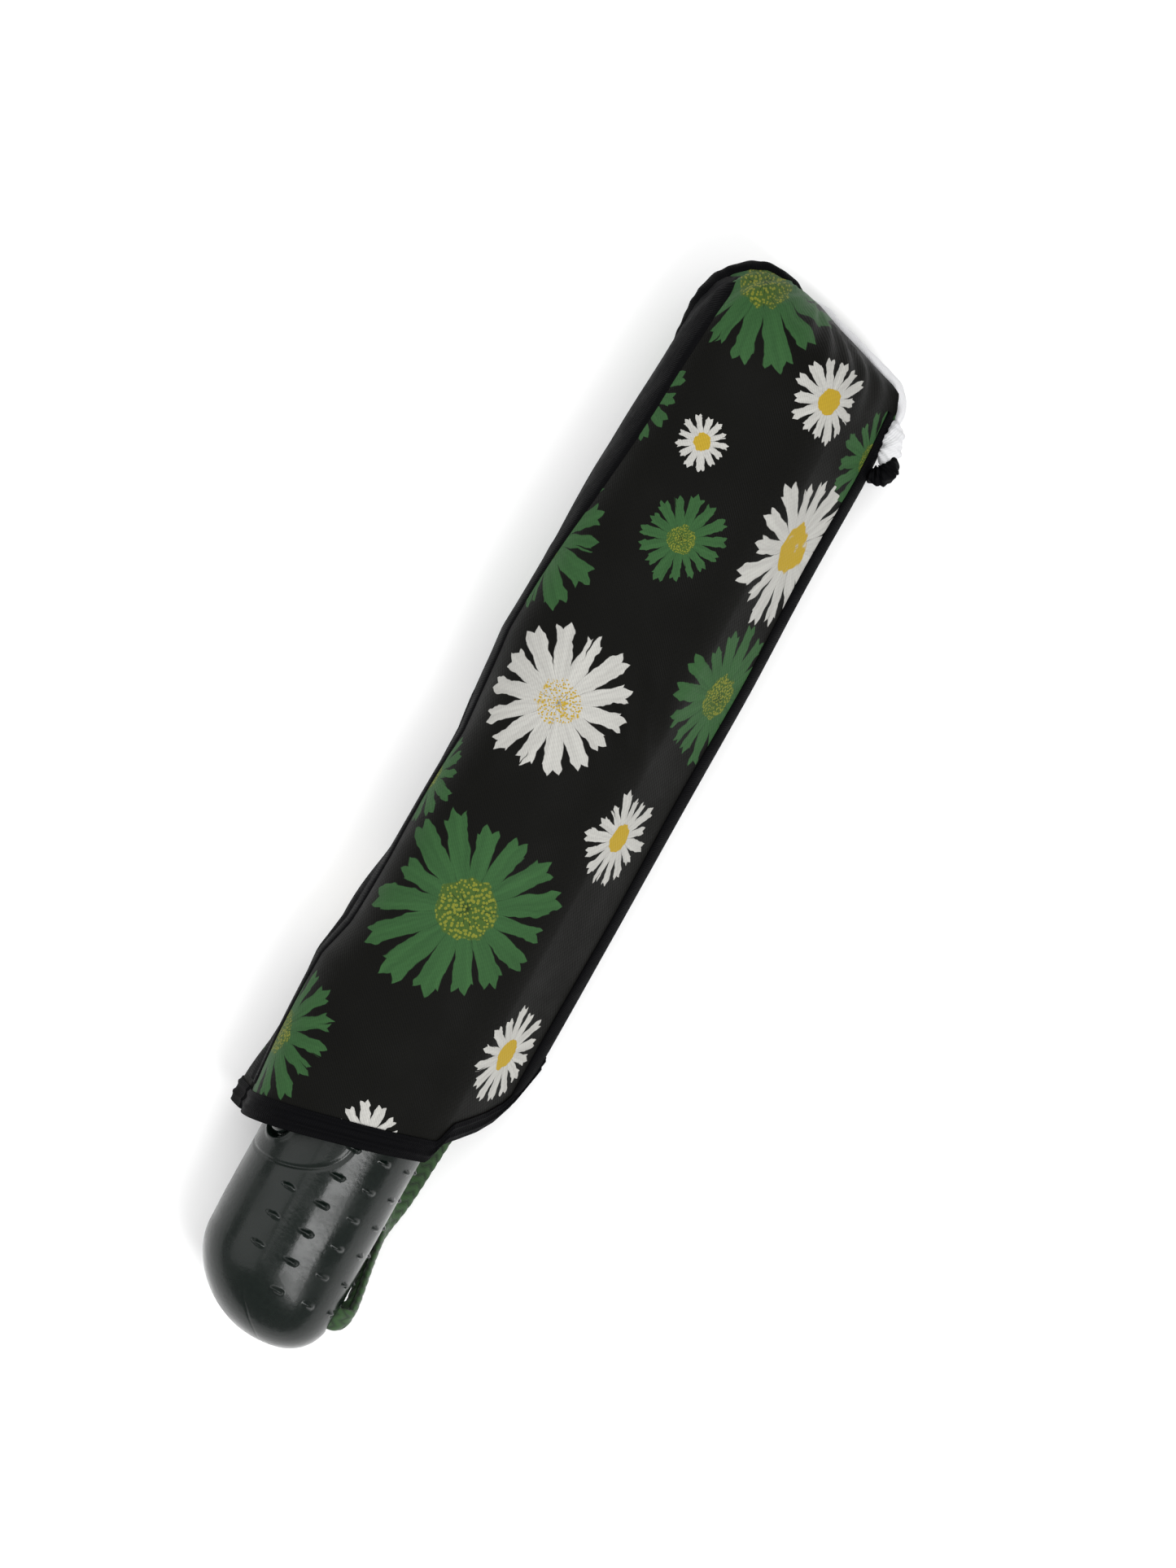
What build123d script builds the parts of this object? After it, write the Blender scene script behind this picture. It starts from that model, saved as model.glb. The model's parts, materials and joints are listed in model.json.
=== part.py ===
from build123d import *
import math
import os

# Three-fold push-button umbrella, closed, lying on its side in its slip-on sleeve.
#
# The shaft axis runs along +Y at the height shaft_height, the handle is at -Y and the crown at +Y.
# The origin is on the surface that the sleeve's flat underside rests on, below the shaft axis and
# half way along the object. Stations along the shaft are counted from the handle's tip and shifted
# by half the overall length when a piece is placed. Each rib set is drawn in a plane that holds
# the shaft axis, with its radius along +Z, and then turned about the shaft to its own azimuth.

os.makedirs("parts", exist_ok=True)

# ---- driving dimensions, mm ----
handle_radius = 19.3
handle_shell_length = 64.0
handle_wall = 2.2
dome_length = 16.0          # rounded end of the handle
cup_length = 20.0           # open cup beyond the shells, where the rib tips end
cup_wall = 1.7
cup_floor = 2.0

top_tube_od = 14.0          # outermost tube, carries crown and runner
tube_wall = 0.5
tube_gap = 0.4              # between the plain stretches of two nested tubes, each side
tube_fit = 0.08             # radial running clearance at flares and lips, and under the runner
flare_length = 8.0          # widened upper end of an inner tube
lip_length = 3.0            # rolled-in lower end of an outer tube
lower_tube_start = 12.0     # station where the lower tube is seated in the handle
core_wall = 2.3             # plastic round the lower tube in the handle
tube_stagger = 2.0          # the next tube out starts and ends this much higher

rib_count = 8
stretcher_length = 89.0     # pivot to pivot, equal to the crown-to-stretcher part of the top rib
cup_to_runner = 10.0        # cup's rim to the runner's pivots, frame closed
cup_to_tips = 4.0           # cup's rim to the rib tips
runner_to_mid_pivot = 12.0  # runner's pivots to the pivots of top and middle ribs
crown_to_tail_pivot = 10.0  # crown's pivots to the pivots of middle and end ribs
tube_to_pivot = 2.5         # tube's surface to the circle of the crown's pivots
top_to_mid_layer = 3.2      # pivot circle to the folded middle ribs
mid_to_tail_layer = 2.7     # folded middle ribs to the folded end ribs
rib_pin = 1.0
pin_fit = 0.05              # radial clearance of a pin in its eye
top_width, top_depth, top_wall = 4.2, 2.7, 0.4
top_edge = 0.9              # pivot circle to the top rib's open edge
side_gap = 0.3              # stretcher to the top rib's wall
stretcher_depth, stretcher_wall = 1.7, 0.35
mid_side_gap = 0.2          # middle rib to the top rib's ears, and end rib to the middle rib's
mid_depth, mid_wall = 2.0, 0.35
tip_diameter, tip_length = 3.0, 9.0
eye_end = 1.1               # metal past a pivot's centre
eye_rim = 1.4               # radius of an ear's round end

runner_wall = 1.0
runner_length = 24.0
hub_flange = 2.5            # pivot circle to the rim of the slotted flanges of crown and runner
slot_clearance = 0.25       # each side of a rib in a hub's slot
crown_wall = 0.9
crown_grip = 10.0           # crown's skirt below its pivots
spigot_radius, spigot_length = 2.5, 6.0   # stud of the crown that the cap is pressed on
cap_radius, cap_height, cap_rim = 9.5, 10.0, 3.0

canopy_thickness = 6.3      # folded cloth outside the end ribs, as a ring of eight wads
canopy_gap_degrees = 2.0
sleeve_gap = 0.9            # cloth of the canopy to cloth of the sleeve
sleeve_wall = 0.8
sleeve_end_gap = 5.0        # cap to the sleeve's closed end
sleeve_seam_reach = 7.8     # how far the flat side seam stands out past the round
sleeve_seam_height = 16.0   # height of the side seam, from which the cloth hangs to the floor
sleeve_seam_fall = 2.0      # how far back under the seam it meets the floor
mouth_left, mouth_right, mouth_seam = 47.6, 60.4, 84.0   # stations of the sleeve's slanted hem

button_azimuth = -53.0      # degrees from straight up, towards -X
button_from_rim = 9.0       # button's middle to the shells' upper rim
button_length, button_width = 13.0, 8.0
button_proud = 1.0
button_clearance = 0.3
stem_radius = 1.5
lever_pin = 1.6
lever_width, lever_depth = 4.0, 2.0

strap_diameter = 4.0        # round section with the area of the flat braid, 6.4 x 2
strap_station = 13.0        # slot for the wrist strap in the handle's side
strap_spacing = 4.5         # the two ends, one above the other
anchor_inset = 4.7          # shell's inner face to the pin that the strap is tied to
anchor_diameter = 2.5

# ---- derived sizes ----
inner_radius = handle_radius - handle_wall
cup_end = handle_shell_length + cup_length
runner_pivot = cup_end + cup_to_runner
crown_pivot = runner_pivot + 2 * stretcher_length
mid_pivot = runner_pivot + runner_to_mid_pivot
tail_pivot = crown_pivot - crown_to_tail_pivot
tip_end = cup_end + cup_to_tips
crown_socket_end = crown_pivot + 4.0
crown_flange_end = crown_pivot + 5.0
crown_skirt = crown_pivot - crown_grip
runner_flange_end = runner_pivot + 4.0
overall_length = crown_flange_end + cap_height + sleeve_end_gap
middle = overall_length / 2

tube_r = top_tube_od / 2
mid_tube_od = top_tube_od - 2 * (tube_wall + tube_gap)
lower_tube_od = mid_tube_od - 2 * (tube_wall + tube_gap)
mid_tube_start = handle_shell_length + tube_stagger
top_tube_start = mid_tube_start + tube_stagger
pivot_circle = tube_r + tube_to_pivot
hub_flange_radius = pivot_circle + hub_flange
mid_layer = pivot_circle + top_to_mid_layer
tail_layer = mid_layer + mid_to_tail_layer
stretcher_width = top_width - 2 * (top_wall + side_gap)
mid_width = top_width - 2 * (top_wall + mid_side_gap)
tail_diameter = mid_width - 2 * (mid_wall + mid_side_gap)
pin_hole = rib_pin / 2 + pin_fit
azimuths = [360.0 / rib_count * (k + 0.5) for k in range(rib_count)]

canopy_inner = tail_layer + tip_diameter / 2 + 0.3
canopy_outer = canopy_inner + canopy_thickness
sleeve_radius = max(canopy_outer, handle_radius) + sleeve_gap + sleeve_wall
sleeve_seam_x = sleeve_radius + sleeve_seam_reach
shaft_height = sleeve_radius


def place(shape):
    """Moves a shape from the shaft's own frame to the part's frame."""
    return Pos(0, -middle, shaft_height) * shape


def turned(points):
    """Solid of revolution about the shaft from a closed outline of (radius, station) points."""
    outline = make_face(Polyline(*[(r, y) for r, y in points], close=True))
    return revolve(outline, Axis.Y)


def block(x, y, z):
    """Box from three (low, high) pairs."""
    box = Box(x[1] - x[0], y[1] - y[0], z[1] - z[0])
    return Pos((x[0] + x[1]) / 2, (y[0] + y[1]) / 2, (z[0] + z[1]) / 2) * box


def pin_across(radius, width, station, height):
    """Pin along X, centred on the rib's plane."""
    return Pos(0, station, height) * Rot(0, 90, 0) * Cylinder(radius, width)


def pin_along(radius, low, high, height):
    """Rod along the shaft's direction, between two stations."""
    return Pos(0, (low + high) / 2, height) * Rot(90, 0, 0) * Cylinder(radius, high - low)


def pin_upright(radius, low, high, x, station):
    """Pin along Z, from one height to another."""
    return Pos(x, station, (low + high) / 2) * Cylinder(radius, high - low)


def channel(width, depth, wall, low, high, inner):
    """Pressed U section along the shaft, open towards it."""
    half, top = width / 2, inner + depth
    hollow = block((-half + wall, half - wall), (low - 1, high + 1), (inner - 1, top - wall))
    return block((-half, half), (low, high), (inner, top)) - hollow


def cheeks(width, wall, outline, eye):
    """The two flat ears of a rib joint, drawn side on as an outline, with a round end at the eye."""
    side = make_face(Polyline(*outline, close=True)) + Pos(*eye) * Circle(eye_rim)
    ears = []
    for x in (-width / 2, width / 2 - wall):
        ears.append(Pos(x, 0, 0) * extrude(Plane.YZ * side, wall))
    return ears


def azimuth_copy(shape, azimuth):
    """Turns a shape drawn with its radius along +Z to an azimuth, then places it."""
    return place(Rot(0, azimuth, 0) * shape)


def save(shape, name):
    """Writes one node."""
    shape.label = name
    export_step(shape, f"parts/{name}.step")


# ---- tubes ----
def tube(od, start, end, flared, lipped, outer_bore, inner_od):
    """Steel tube; flared is the widened upper end, lipped the rolled-in lower end."""
    r = od / 2
    bore = r - tube_wall
    points = [(bore, start), (r, start)]
    if lipped:
        lip = inner_od / 2 + tube_fit
        points = [(lip, start), (r, start)]
    if flared:
        wide = outer_bore - tube_fit
        points += [(r, end - flare_length), (wide, end - flare_length), (wide, end)]
        points += [(wide - tube_wall, end), (wide - tube_wall, end - flare_length + tube_wall)]
        points += [(bore, end - flare_length + tube_wall)]
    else:
        points += [(r, end), (bore, end)]
    if lipped:
        points += [(bore, start + lip_length), (lip, start + lip_length)]
    return turned(points)


tube_top = crown_skirt
save(place(tube(lower_tube_od, lower_tube_start, tube_top - 2 * tube_stagger, True, False,
                mid_tube_od / 2 - tube_wall, 0)), "lower_tube")
save(place(tube(mid_tube_od, mid_tube_start, tube_top, True, True,
                top_tube_od / 2 - tube_wall, lower_tube_od)), "mid_tube")
save(place(tube(top_tube_od, top_tube_start, crown_socket_end, False, True, 0, mid_tube_od)),
     "top_tube")


# ---- springs ----
def spring_space(outer, wire, start, end):
    """Close-wound spring as the tube that its turns fill."""
    return turned([(outer - wire, start), (outer, start), (outer, end), (outer - wire, end)])


spring_gap = 0.5
opening_wire, runner_wire = 1.0, 0.8
opening_outer = lower_tube_od / 2 - tube_wall - spring_gap
save(place(spring_space(opening_outer, opening_wire, lower_tube_start + spring_gap,
                        crown_socket_end - spring_gap)), "opening_spring")
runner_outer = top_tube_od / 2 + 0.4 + runner_wire
save(place(spring_space(runner_outer, runner_wire, runner_flange_end + spring_gap,
                        crown_skirt - spring_gap)), "runner_spring")


# ---- handle ----
def dome_arc(radius, top, depth):
    """Arc of a shallow dome, from its rim to its top on the axis; depth is negative for a low top."""
    ball = (radius ** 2 + depth ** 2) / (2 * abs(depth))
    half = math.asin(min(1.0, radius / ball)) / 2
    fall = math.copysign(ball * (1 - math.cos(half)), depth)
    return ThreePointArc((radius, top - depth), (ball * math.sin(half), top - fall), (0, top))


def handle_outline(radius, start, end, dome):
    """Half outline of the handle: a rounded end that runs into a cylinder."""
    shoulder = (radius, start + dome)
    return make_face([dome_arc(radius, start, -dome), Line(shoulder, (radius, end)),
                      Line((radius, end), (0, end)), Line((0, end), (0, start))])


azimuth_tilt = Rot(0, button_azimuth, 0)
button_top = handle_radius + button_proud
button_station = handle_shell_length - button_from_rim
anchor_radius = inner_radius - anchor_inset
shell = revolve(handle_outline(handle_radius, 0, handle_shell_length, dome_length), Axis.Y)
shell -= revolve(handle_outline(inner_radius, handle_wall, handle_shell_length + 1,
                                dome_length - handle_wall), Axis.Y)
button_low, button_high = button_station - button_length / 2, button_station + button_length / 2


def stadium(width, length, low, high):
    """Button outline, rounded at both ends, between two radii."""
    face = Pos(0, button_station, low) * SlotOverall(length, width, rotation=90)
    return extrude(face, high - low)


shell -= azimuth_tilt * stadium(button_width + 2 * button_clearance,
                                button_length + 2 * button_clearance, 12, button_top + 5)
slot_half = strap_spacing / 2 + strap_diameter / 2 + 0.4
slot_reach = strap_diameter / 2 + 0.4
shell -= block((anchor_radius, handle_radius + 2),
               (strap_station - slot_reach, strap_station + slot_reach), (-slot_half, slot_half))
anchor_half = math.sqrt(inner_radius ** 2 - anchor_radius ** 2) + 0.3
shell -= pin_upright(anchor_diameter / 2, -anchor_half, anchor_half, anchor_radius, strap_station)
big = 60.0
save(place(shell & block((-big, big), (-5, big * 2), (0, big))), "handle_shell_front")
save(place(shell & block((-big, big), (-5, big * 2), (-big, 0))), "handle_shell_back")
save(place(pin_upright(anchor_diameter / 2, -anchor_half, anchor_half, anchor_radius,
                       strap_station)), "strap_anchor")

core_radius = lower_tube_od / 2 + core_wall
core_end = handle_shell_length
spigot_start = handle_shell_length - cup_floor
tube_radius = lower_tube_od / 2
core = turned([(0, 9), (core_radius, 9), (core_radius, 20), (inner_radius - 0.2, 20),
               (inner_radius - 0.2, 22.5), (core_radius, 22.5), (core_radius, core_end),
               (tube_radius, core_end), (tube_radius, lower_tube_start), (0, lower_tube_start)])
flange_low, flange_top = inner_radius - 2.1, inner_radius - 0.5
stem_low = flange_low - 1.4
lever_top = stem_low - button_clearance
lever_low = lever_top - lever_depth
pin_station, pin_height = button_station - 10.5, lever_top - lever_depth / 2
lever_start, lever_end = pin_station - 6.5, button_station + 1.5
cheek_gap, cheek_wall = lever_width / 2 + button_clearance, 1.5
for side in (-1, 1):
    near, far = sorted((side * cheek_gap, side * (cheek_gap + cheek_wall)))
    ear = block((near, far), (pin_station - 2.5, pin_station + 2.5), (0, pin_height + 1.8))
    ear -= turned([(0, 0), (tube_radius, 0), (tube_radius, core_end), (0, core_end)])
    core += azimuth_tilt * ear
# window in the core that the lever's nose dips into
core -= azimuth_tilt * block((-cheek_gap, cheek_gap), (lever_start - 0.5, lever_end + 0.5),
                             (lever_low - 2.5, lever_top + 5))
lever_pin_length = 2 * (cheek_gap + cheek_wall)
core -= azimuth_tilt * pin_across(lever_pin / 2, lever_pin_length + 1, pin_station, pin_height)
save(place(core), "handle_core")
save(azimuth_copy(pin_across(lever_pin / 2, lever_pin_length, pin_station, pin_height),
                  button_azimuth), "latch_pin")

cup = turned([(core_radius + 0.1, spigot_start), (inner_radius - 0.1, spigot_start),
              (inner_radius - 0.1, handle_shell_length), (handle_radius, handle_shell_length),
              (handle_radius, cup_end), (handle_radius - cup_wall, cup_end),
              (handle_radius - cup_wall, handle_shell_length + cup_floor),
              (core_radius + 0.1, handle_shell_length + cup_floor)])
save(place(cup), "tip_cup")

# ---- push button, its spring and the latch lever ----
ring = turned([(0, 30), (button_top, 30), (button_top, 80), (0, 80)])
cap = stadium(button_width, button_length, flange_top, button_top + 2) & ring
flange = block((-button_width / 2 - 1.2, button_width / 2 + 1.2),
               (button_low + 0.6, button_high), (flange_low, flange_top))
flange &= turned([(0, 30), (inner_radius - 0.2, 30), (inner_radius - 0.2, 80), (0, 80)])
stem = pin_upright(stem_radius, stem_low, flange_low + 0.5, 0, button_station - 1)
save(azimuth_copy(cap + flange + stem, button_azimuth), "button")
spring_wire, spring_radius, spring_turns = 0.5, 1.5, 5
spring_station = button_high - 2.2
spring_length = flange_low - core_radius - spring_wire
small_helix = Helix(pitch=spring_length / spring_turns, height=spring_length, radius=spring_radius)
small_section = Plane(origin=small_helix @ 0, z_dir=small_helix % 0) * Circle(spring_wire / 2)
button_spring = sweep(small_section, small_helix, is_frenet=True)
save(azimuth_copy(Pos(0, spring_station, core_radius + spring_wire / 2) * button_spring,
                  button_azimuth), "button_spring")
lever = block((-lever_width / 2, lever_width / 2), (lever_start, lever_end), (lever_low, lever_top))
lever += block((-lever_width / 2, lever_width / 2), (lever_start, lever_start + 2),
               (lever_low - 2, lever_low))
lever -= pin_across(lever_pin / 2 + pin_fit, lever_width + 1, pin_station, pin_height)
save(azimuth_copy(lever, button_azimuth), "latch_lever")

# ---- crown, its wire, the cap, and the runner ----
crown = turned([(0, crown_socket_end), (tube_r, crown_socket_end), (tube_r, crown_skirt),
                (tube_r + crown_wall, crown_skirt), (tube_r + crown_wall, crown_pivot - 5),
                (hub_flange_radius, crown_pivot - 5), (hub_flange_radius, crown_flange_end),
                (spigot_radius, crown_flange_end), (spigot_radius, crown_flange_end + spigot_length),
                (0, crown_flange_end + spigot_length)])
rib_slot = top_width / 2 + slot_clearance
for azimuth in azimuths:
    crown -= Rot(0, azimuth, 0) * block((-rib_slot, rib_slot), (crown_pivot - 6, crown_pivot + 3),
                                        (tube_r + crown_wall, hub_flange_radius + 1))


def wire_ring(radius):
    """Wire bent to a polygon, with one straight side through each rib's eye."""
    corner = pivot_circle / math.cos(math.pi / rib_count)
    turns = [math.radians(a - 180.0 / rib_count) for a in azimuths]
    points = [(corner * math.sin(a), crown_pivot, corner * math.cos(a)) for a in turns]
    side_length = 2 * corner * math.sin(math.pi / rib_count)
    sides = []
    for azimuth, point in zip(azimuths, points):
        sides.append(Rot(0, azimuth, 0) * pin_across(radius, side_length, crown_pivot, pivot_circle))
        sides.append(Pos(*point) * Sphere(radius))
    return sides


ring_parts = wire_ring(rib_pin / 2)
crown_wire = ring_parts[0].fuse(*ring_parts[1:])
crown = crown.cut(*wire_ring(rib_pin / 2))
save(place(crown), "crown")
save(place(crown_wire), "crown_wire")

rim, top = (cap_radius, crown_flange_end + cap_rim), crown_flange_end + cap_height
cap_face = make_face([Line((0, crown_flange_end), (cap_radius, crown_flange_end)),
                      Line((cap_radius, crown_flange_end), rim),
                      dome_arc(cap_radius, top, cap_height - cap_rim),
                      Line((0, top), (0, crown_flange_end))])
socket = turned([(0, crown_flange_end - 1), (spigot_radius, crown_flange_end - 1),
                 (spigot_radius, crown_flange_end + spigot_length),
                 (0, crown_flange_end + spigot_length)])
save(place(revolve(cap_face, Axis.Y) - socket), "ferrule_cap")

runner_bore = tube_r + tube_fit
runner_core = runner_bore + runner_wall
runner_start = runner_flange_end - runner_length
runner = turned([(runner_bore, runner_start), (runner_core, runner_start),
                 (runner_core, runner_pivot - 3), (hub_flange_radius, runner_pivot - 3),
                 (hub_flange_radius, runner_flange_end), (runner_bore, runner_flange_end)])
stretcher_slot = stretcher_width / 2 + slot_clearance
for azimuth in azimuths:
    runner -= Rot(0, azimuth, 0) * block((-stretcher_slot, stretcher_slot), (0, crown_pivot),
                                         (runner_core, hub_flange_radius + 1))
save(place(runner), "runner")


# ---- one rib set ----
def top_rib():
    """Pressed channel from the crown to the middle rib's pivot, with an eye for each pivot."""
    inner = pivot_circle - top_edge
    web_end = mid_pivot + 2.0
    rib = channel(top_width, top_depth, top_wall, web_end, crown_pivot + eye_end, inner)
    outline = [(web_end + 0.1, inner), (web_end + 0.1, inner + top_depth), (mid_pivot + eye_end, mid_layer),
               (mid_pivot - eye_end, mid_layer), (mid_pivot - eye_end, inner)]
    rib = rib.fuse(*cheeks(top_width, top_wall, outline, (mid_pivot, mid_layer)))
    for station, height in ((crown_pivot, pivot_circle), (mid_pivot, mid_layer),
                            (crown_pivot - stretcher_length, pivot_circle)):
        rib -= pin_across(pin_hole, top_width + 2, station, height)
    return rib


def stretcher():
    """Pressed channel nested in the top rib, with its outer pin riveted in."""
    low, high = runner_pivot, crown_pivot - stretcher_length
    inner = pivot_circle - stretcher_depth / 2
    link = channel(stretcher_width, stretcher_depth, stretcher_wall, low, high, inner)
    half = stretcher_depth / 2
    for station in (low, high):
        link += pin_across(half, stretcher_width, station, pivot_circle)
    link -= pin_across(pin_hole, stretcher_width + 1, low, pivot_circle)
    return link + pin_across(rib_pin / 2, top_width + 0.4, high, pivot_circle)


def mid_rib():
    """Pressed channel between the top rib and the end rib, with its own pin at the top rib's end."""
    inner = mid_layer - mid_depth / 2
    web_end = tail_pivot - 2.0
    rib = channel(mid_width, mid_depth, mid_wall, mid_pivot - eye_end, web_end, inner)
    outline = [(web_end - 0.1, inner), (web_end - 0.1, inner + mid_depth),
               (tail_pivot - eye_end, tail_layer), (tail_pivot + eye_end, tail_layer),
               (tail_pivot + eye_end, inner)]
    rib = rib.fuse(*cheeks(mid_width, mid_wall, outline, (tail_pivot, tail_layer)))
    rib -= pin_across(pin_hole, mid_width + 2, tail_pivot, tail_layer)
    return rib + pin_across(rib_pin / 2, top_width + 0.4, mid_pivot, mid_layer)


def tail_rib():
    """Round end rib with its pin and the plastic tip that the canopy is tied to."""
    tip_start = tip_end + tip_length
    rod = pin_along(tail_diameter / 2, tip_start, tail_pivot, tail_layer)
    tip = pin_along(tip_diameter / 2, tip_end, tip_start, tail_layer)
    rod += Pos(0, tail_pivot, tail_layer) * Sphere(tail_diameter / 2)
    return rod + tip + pin_across(rib_pin / 2, mid_width + 0.4, tail_pivot, tail_layer)


def canopy_wad():
    """One eighth of the folded cloth round the bundle, outside the end ribs."""
    half = math.radians(180.0 / rib_count - canopy_gap_degrees / 2)

    def at(radius, angle):
        return radius * math.sin(angle), radius * math.cos(angle)

    outer = ThreePointArc(at(canopy_outer, -half), at(canopy_outer, 0), at(canopy_outer, half))
    inner = ThreePointArc(at(canopy_inner, half), at(canopy_inner, 0), at(canopy_inner, -half))
    face = make_face([outer, Line(at(canopy_outer, half), at(canopy_inner, half)), inner,
                      Line(at(canopy_inner, -half), at(canopy_outer, -half))])
    start, end = tip_end + 2.0, tail_pivot - eye_end - 0.3
    solid = extrude(Plane.XZ * face, start - end)
    return Pos(0, start, 0) * solid


rib_makers = {"top_rib": top_rib, "stretcher": stretcher, "mid_rib": mid_rib,
              "tail_rib": tail_rib, "canopy_gore": canopy_wad}
for name, maker in rib_makers.items():
    drawn = maker()
    for number, azimuth in enumerate(azimuths, 1):
        save(azimuth_copy(drawn, azimuth), f"{name}_{number}")


# ---- sleeve ----
def section_face():
    """The sleeve's cross section: round over the bundle, flat below, drawn out to the side seam."""
    seam_x, seam_z = sleeve_seam_x, sleeve_seam_height - sleeve_radius
    reach = math.hypot(seam_x, seam_z)
    right = math.atan2(seam_z, seam_x) + math.acos(sleeve_radius / reach)
    left = math.radians(215.0)

    def rim(angle):
        return sleeve_radius * math.cos(angle), sleeve_radius * math.sin(angle)

    foot_x = rim(left)[0] + (sleeve_radius + rim(left)[1]) * math.tan(left - math.pi)
    points = [rim(right), (seam_x, seam_z), (seam_x - sleeve_seam_fall, -sleeve_radius),
              (foot_x, -sleeve_radius), rim(left)]
    edges = [Line(points[k], points[k + 1]) for k in range(4)]
    edges.append(ThreePointArc(rim(left), rim((left + right) / 2), rim(right)))
    return make_face(edges)


def plan_face(inset, mouth):
    """The sleeve's outline from above. mouth moves the open end towards the handle."""
    side, seam = sleeve_radius + 1.5 - inset, sleeve_seam_x + 0.5 - inset
    end = overall_length - 1.0 - inset
    points = [(-9 + inset * 0.3, end), (8, end - 3.5), (30 - inset, end - 9.7), (seam, end - 14),
              (seam, mouth_seam - mouth), (21.5, mouth_right - mouth), (-side, mouth_left - mouth),
              (-side, end - 19)]
    edges = [Line(points[k], points[k + 1]) for k in range(7)]
    edges.append(ThreePointArc(points[7], (-21 + inset * 0.7, end - 5.5 + inset * 0.3), points[0]))
    return make_face(edges)


def side_face(inset):
    """The sleeve's outline from the side: full height, then falling to the closed end."""
    high, low = sleeve_radius - inset, -sleeve_radius + inset
    end = overall_length - inset
    return make_face(Polyline((0, low), (end, low), (end, low + 28), (crown_pivot - 4, high + 0.1),
                              (0, high + 0.1), close=True))


def sleeve_body(inset, mouth):
    """The three outlines carried through each other."""
    section = section_face() if inset == 0 else offset(section_face(), -inset, kind=Kind.INTERSECTION)
    bag = extrude(Plane.XZ * section, -(overall_length + 2))
    bag &= Pos(0, 0, -big) * extrude(plan_face(inset, mouth), 2 * big)
    return bag & (Pos(-big, 0, 0) * extrude(Plane.YZ * side_face(inset), 2 * big))


save(place(sleeve_body(0, 0) - sleeve_body(sleeve_wall, 30)), "sleeve")

# ---- wrist strap: a loop with both ends in the handle, tucked into the sleeve ----
# (x, station, height above the floor); it leaves above its anchor, runs down and along the
# handle's side, turns back inside the sleeve and returns below itself to the same slot
strap_route = [
    (14.2, 13.0, 27.45), (22.6, 13.4, 27.2), (24.0, 20.0, 21.5), (20.4, 29.5, 12.5),
    (19.0, 41.0, 5.4), (19.6, 54.0, 3.4), (20.6, 69.0, 3.2), (22.6, 86.0, 3.2),
    (25.6, 106.0, 3.3), (26.8, 128.0, 3.2), (26.6, 148.0, 3.1), (27.6, 163.5, 3.1),
    (24.4, 170.6, 3.1), (17.6, 171.0, 3.1), (14.3, 163.8, 3.1),
    (15.4, 151.0, 3.1), (16.6, 134.0, 3.2), (16.0, 113.0, 3.2), (14.6, 92.0, 3.1),
    (13.4, 73.0, 3.1), (12.8, 56.0, 3.1), (14.2, 41.5, 4.4), (18.0, 30.0, 8.8),
    (22.2, 21.0, 15.2), (23.2, 13.8, 22.2), (14.2, 13.0, 22.95),
]
corners = [Vector(x, y - middle, z) for x, y, z in strap_route]
radii = []
for before, here, after in zip(corners, corners[1:], corners[2:]):
    turn = (here - before).get_angle(after - here)
    shorter = min((here - before).length, (after - here).length)
    radii.append(0.45 * shorter / math.tan(math.radians(turn) / 2))
strap_path = FilletPolyline(*corners, radius=radii)
strap = sweep(Plane(origin=strap_path @ 0, z_dir=strap_path % 0) * Circle(strap_diameter / 2), strap_path)
save(strap, "wrist_strap")
strap_section = math.pi * strap_diameter ** 2 / 4
print("strap radii:", " ".join(f"{r:.1f}" for r in radii))
print(f"strap length {strap_path.length:.1f} mm, volume over section "
      f"{strap.volume / strap_section:.1f} mm")
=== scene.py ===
# %% [markdown]
# # A folding umbrella in its printed sleeve
# The umbrella lies on its side in a slip-on cloth sleeve, with its handle sticking out. The fixed
# frame brings in every hard part; this lesson makes the parts that meet the eye: cloth, braid,
# moulded handle, and a finish for each of the rest.

# %% The frame and the words used for measures
import json
import math
import bpy
import bmesh
import numpy as np
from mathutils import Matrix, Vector


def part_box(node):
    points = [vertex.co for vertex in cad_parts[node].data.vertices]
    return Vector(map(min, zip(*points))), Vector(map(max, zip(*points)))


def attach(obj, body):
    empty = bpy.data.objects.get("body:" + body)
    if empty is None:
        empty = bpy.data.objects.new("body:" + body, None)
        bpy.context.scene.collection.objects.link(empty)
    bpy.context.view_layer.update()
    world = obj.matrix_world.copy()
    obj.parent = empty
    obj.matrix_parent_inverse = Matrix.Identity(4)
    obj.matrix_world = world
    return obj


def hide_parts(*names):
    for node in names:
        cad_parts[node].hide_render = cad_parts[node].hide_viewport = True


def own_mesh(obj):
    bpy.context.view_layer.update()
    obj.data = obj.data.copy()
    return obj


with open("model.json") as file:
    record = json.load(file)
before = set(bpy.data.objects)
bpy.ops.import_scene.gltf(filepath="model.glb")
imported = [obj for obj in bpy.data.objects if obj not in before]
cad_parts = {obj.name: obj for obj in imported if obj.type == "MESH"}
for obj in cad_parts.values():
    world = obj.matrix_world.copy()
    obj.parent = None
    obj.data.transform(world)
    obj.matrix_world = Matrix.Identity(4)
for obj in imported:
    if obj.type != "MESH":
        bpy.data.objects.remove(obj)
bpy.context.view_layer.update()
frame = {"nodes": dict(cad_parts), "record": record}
mm = 0.001
handle_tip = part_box("handle_shell_front")[0].y
shaft_z = sum(corner.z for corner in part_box("top_tube")) / 2
handle_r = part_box("handle_shell_front")[1].z - shaft_z
sleeve_r = shaft_z


def row_y(station):
    """Place along the shaft: station is counted in millimetres from the handle's end."""
    return handle_tip + np.asarray(station) * mm


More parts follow.
